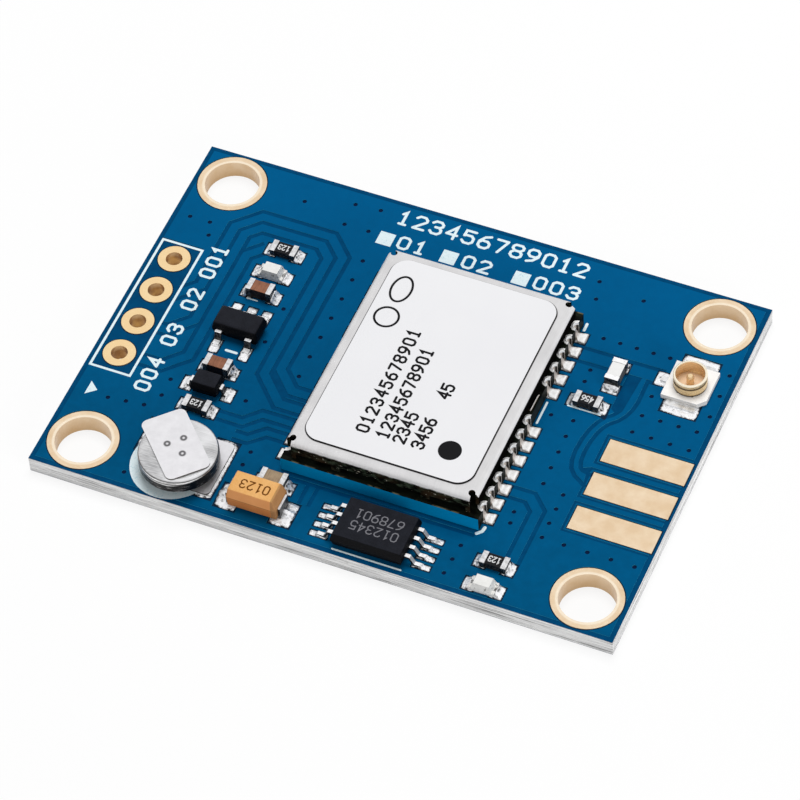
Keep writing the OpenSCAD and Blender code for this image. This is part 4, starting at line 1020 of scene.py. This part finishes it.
# A lamp chip is a small carrier of white laminate that is soldered at its two ends.
# The lens is milky resin, cast on the carrier with sloping sides, and has a few flaws.
carrier, place = new_finish("lamp_carrier", Specular_IOR_Level=0.12)
cloth = grain(place, 0.2, 3.0)
flecks = grain(place, 0.22, 3.0, 0.6)
pale = mixed(cloth, ink("#D5D3CE"), ink("#F2F1EE"))
set_finish(
    carrier,
    Base_Color=mixed(between(flecks, 0.62, 0.68), pale, ink("#2E2D2C")),
    Roughness=0.4 + cloth * 0.2,
    Normal=relief(cloth, 0.02),
)
milky, place = new_finish("lamp_resin", Specular_IOR_Level=0.5, Coat_Weight=0.4, Coat_Roughness=0.08)
haze = grain(place, 0.3, 3.0)
flat = between(facing(place)[2], 0.75, 0.95)
cloudy = mixed(haze, ink("#DCDCD8"), ink("#F8F8F6"))
flaws = grain(place, 0.18, 3.0, 0.6)
shadowed = mixed(between(flaws, 0.58, 0.64), mixed(haze, ink("#C2C2BE"), ink("#ECECEA")), ink("#4A4A48"))
set_finish(
    milky,
    Base_Color=mixed(flat, shadowed, cloudy),
    Roughness=0.12 + haze * 0.2,
    Normal=relief(haze, 0.03),
)
for number in (1, 2):
    soften(f"lamp_{number}_carrier", 0.03, carrier)
    soften(f"lamp_{number}_lens", 0.06, milky)

# The object lies on a pale studio floor, a plain sheet just under the board.
# The floor shows the camera a white that keeps the object's shadow.
floor_mesh = bpy.data.meshes.new("studio_floor")
floor_half, floor_drop, floor_glow = 2.0, 0.02 * MM, 0.85
corners = [(a * floor_half, b * floor_half, 0) for a, b in ((-1, -1), (1, -1), (1, 1), (-1, 1))]
floor_mesh.from_pydata(corners, [], [(0, 1, 2, 3)])
floor = bpy.data.objects.new("studio_floor", floor_mesh)
floor.location.z = -floor_drop
bpy.context.collection.objects.link(floor)


def seen_directly(signal):
    """1 for what the camera sees, in mirrors and glass too, and 0 for light that falls on things."""
    node = signal.add("LightPath", {}, {}).socket.node
    kinds = ("Camera", "Glossy", "Transmission")
    camera, mirror, glass = [Signal(node.outputs[f"Is {kind} Ray"]) for kind in kinds]
    return (camera + mirror + glass).clamped()


pale_floor, place = new_finish("pale_floor", Roughness=0.9, Specular_IOR_Level=0.0)
dust = grain(place, 40.0, 2.0)
set_finish(pale_floor, Base_Color=mixed(dust, ink("#F6F6F6"), ink("#FBFBFB")))
glow = place.add("Emission", {}, {"Color": (1.0, 1.0, 1.0, 1.0), "Strength": 1.0})
tree = pale_floor.node_tree
plain = Signal(tree.nodes["Principled BSDF"].outputs[0])
shown = place.add("MixShader", {}, {0: seen_directly(place) * floor_glow, 1: plain, 2: glow})
tree.links.new(shown.socket, tree.nodes["Material Output"].inputs["Surface"])
floor_mesh.materials.append(pale_floor)

# The studio is a white tent. One wide lamp hangs above it, somewhat behind the object and a little to the
# left, and a weaker one stands low at the front right.
world = bpy.data.worlds.new("white_tent")
bpy.context.scene.world = world
world.use_nodes = True
tent = world.node_tree.nodes["Background"]
tent.inputs["Color"].default_value = (1.0, 1.0, 1.0, 1.0)
ambient = 0.32
strength = ambient + seen_directly(Signal(tent.outputs[0])) * (1 - ambient)
world.node_tree.links.new(strength.socket, tent.inputs["Strength"])


def soft_lamp(name, at, size, power):
    """A square lamp that faces the object's middle; its place and size are in millimetres."""
    lamp = bpy.data.lights.new(name, "AREA")
    lamp.size = size * MM
    lamp.energy = power
    holder = bpy.data.objects.new(name, lamp)
    holder.location = Vector(at) * MM
    holder.rotation_euler = (-holder.location).to_track_quat("-Z", "Y").to_euler()
    holder.visible_glossy = False
    bpy.context.collection.objects.link(holder)


soft_lamp("overhead_lamp", (-20, 100, 320), size=180, power=0.77)
soft_lamp("side_lamp", (250, -150, 70), size=160, power=0.44)

# The camera looks down over the front edge from a little to the right, as the photograph does.
# It stands well back with a long lens, and is rolled by a few degrees.
azimuth, elevation, roll = (math.radians(a) for a in (26.78555, 51.67328, -4.64088))
eye = Vector((74.787, -148.724, 210.234)) * MM
back = Vector((
    math.sin(azimuth) * math.cos(elevation),
    -math.cos(azimuth) * math.cos(elevation),
    math.sin(elevation),
))
level = Vector((math.cos(azimuth), math.sin(azimuth), 0))
right = math.cos(roll) * level + math.sin(roll) * back.cross(level)
upward = back.cross(right)
photo_camera = bpy.data.cameras.new("photo_camera")
photo_camera.lens = 208.0085
photo_camera.sensor_width = 36.0
photo_camera.clip_start = 0.01
tripod = bpy.data.objects.new("photo_camera", photo_camera)
tripod.matrix_world = Matrix.Translation(eye) @ Matrix((right, upward, back)).transposed().to_4x4()
bpy.context.collection.objects.link(tripod)
bpy.context.scene.camera = tripod
bpy.context.scene.view_settings.view_transform = "Standard"
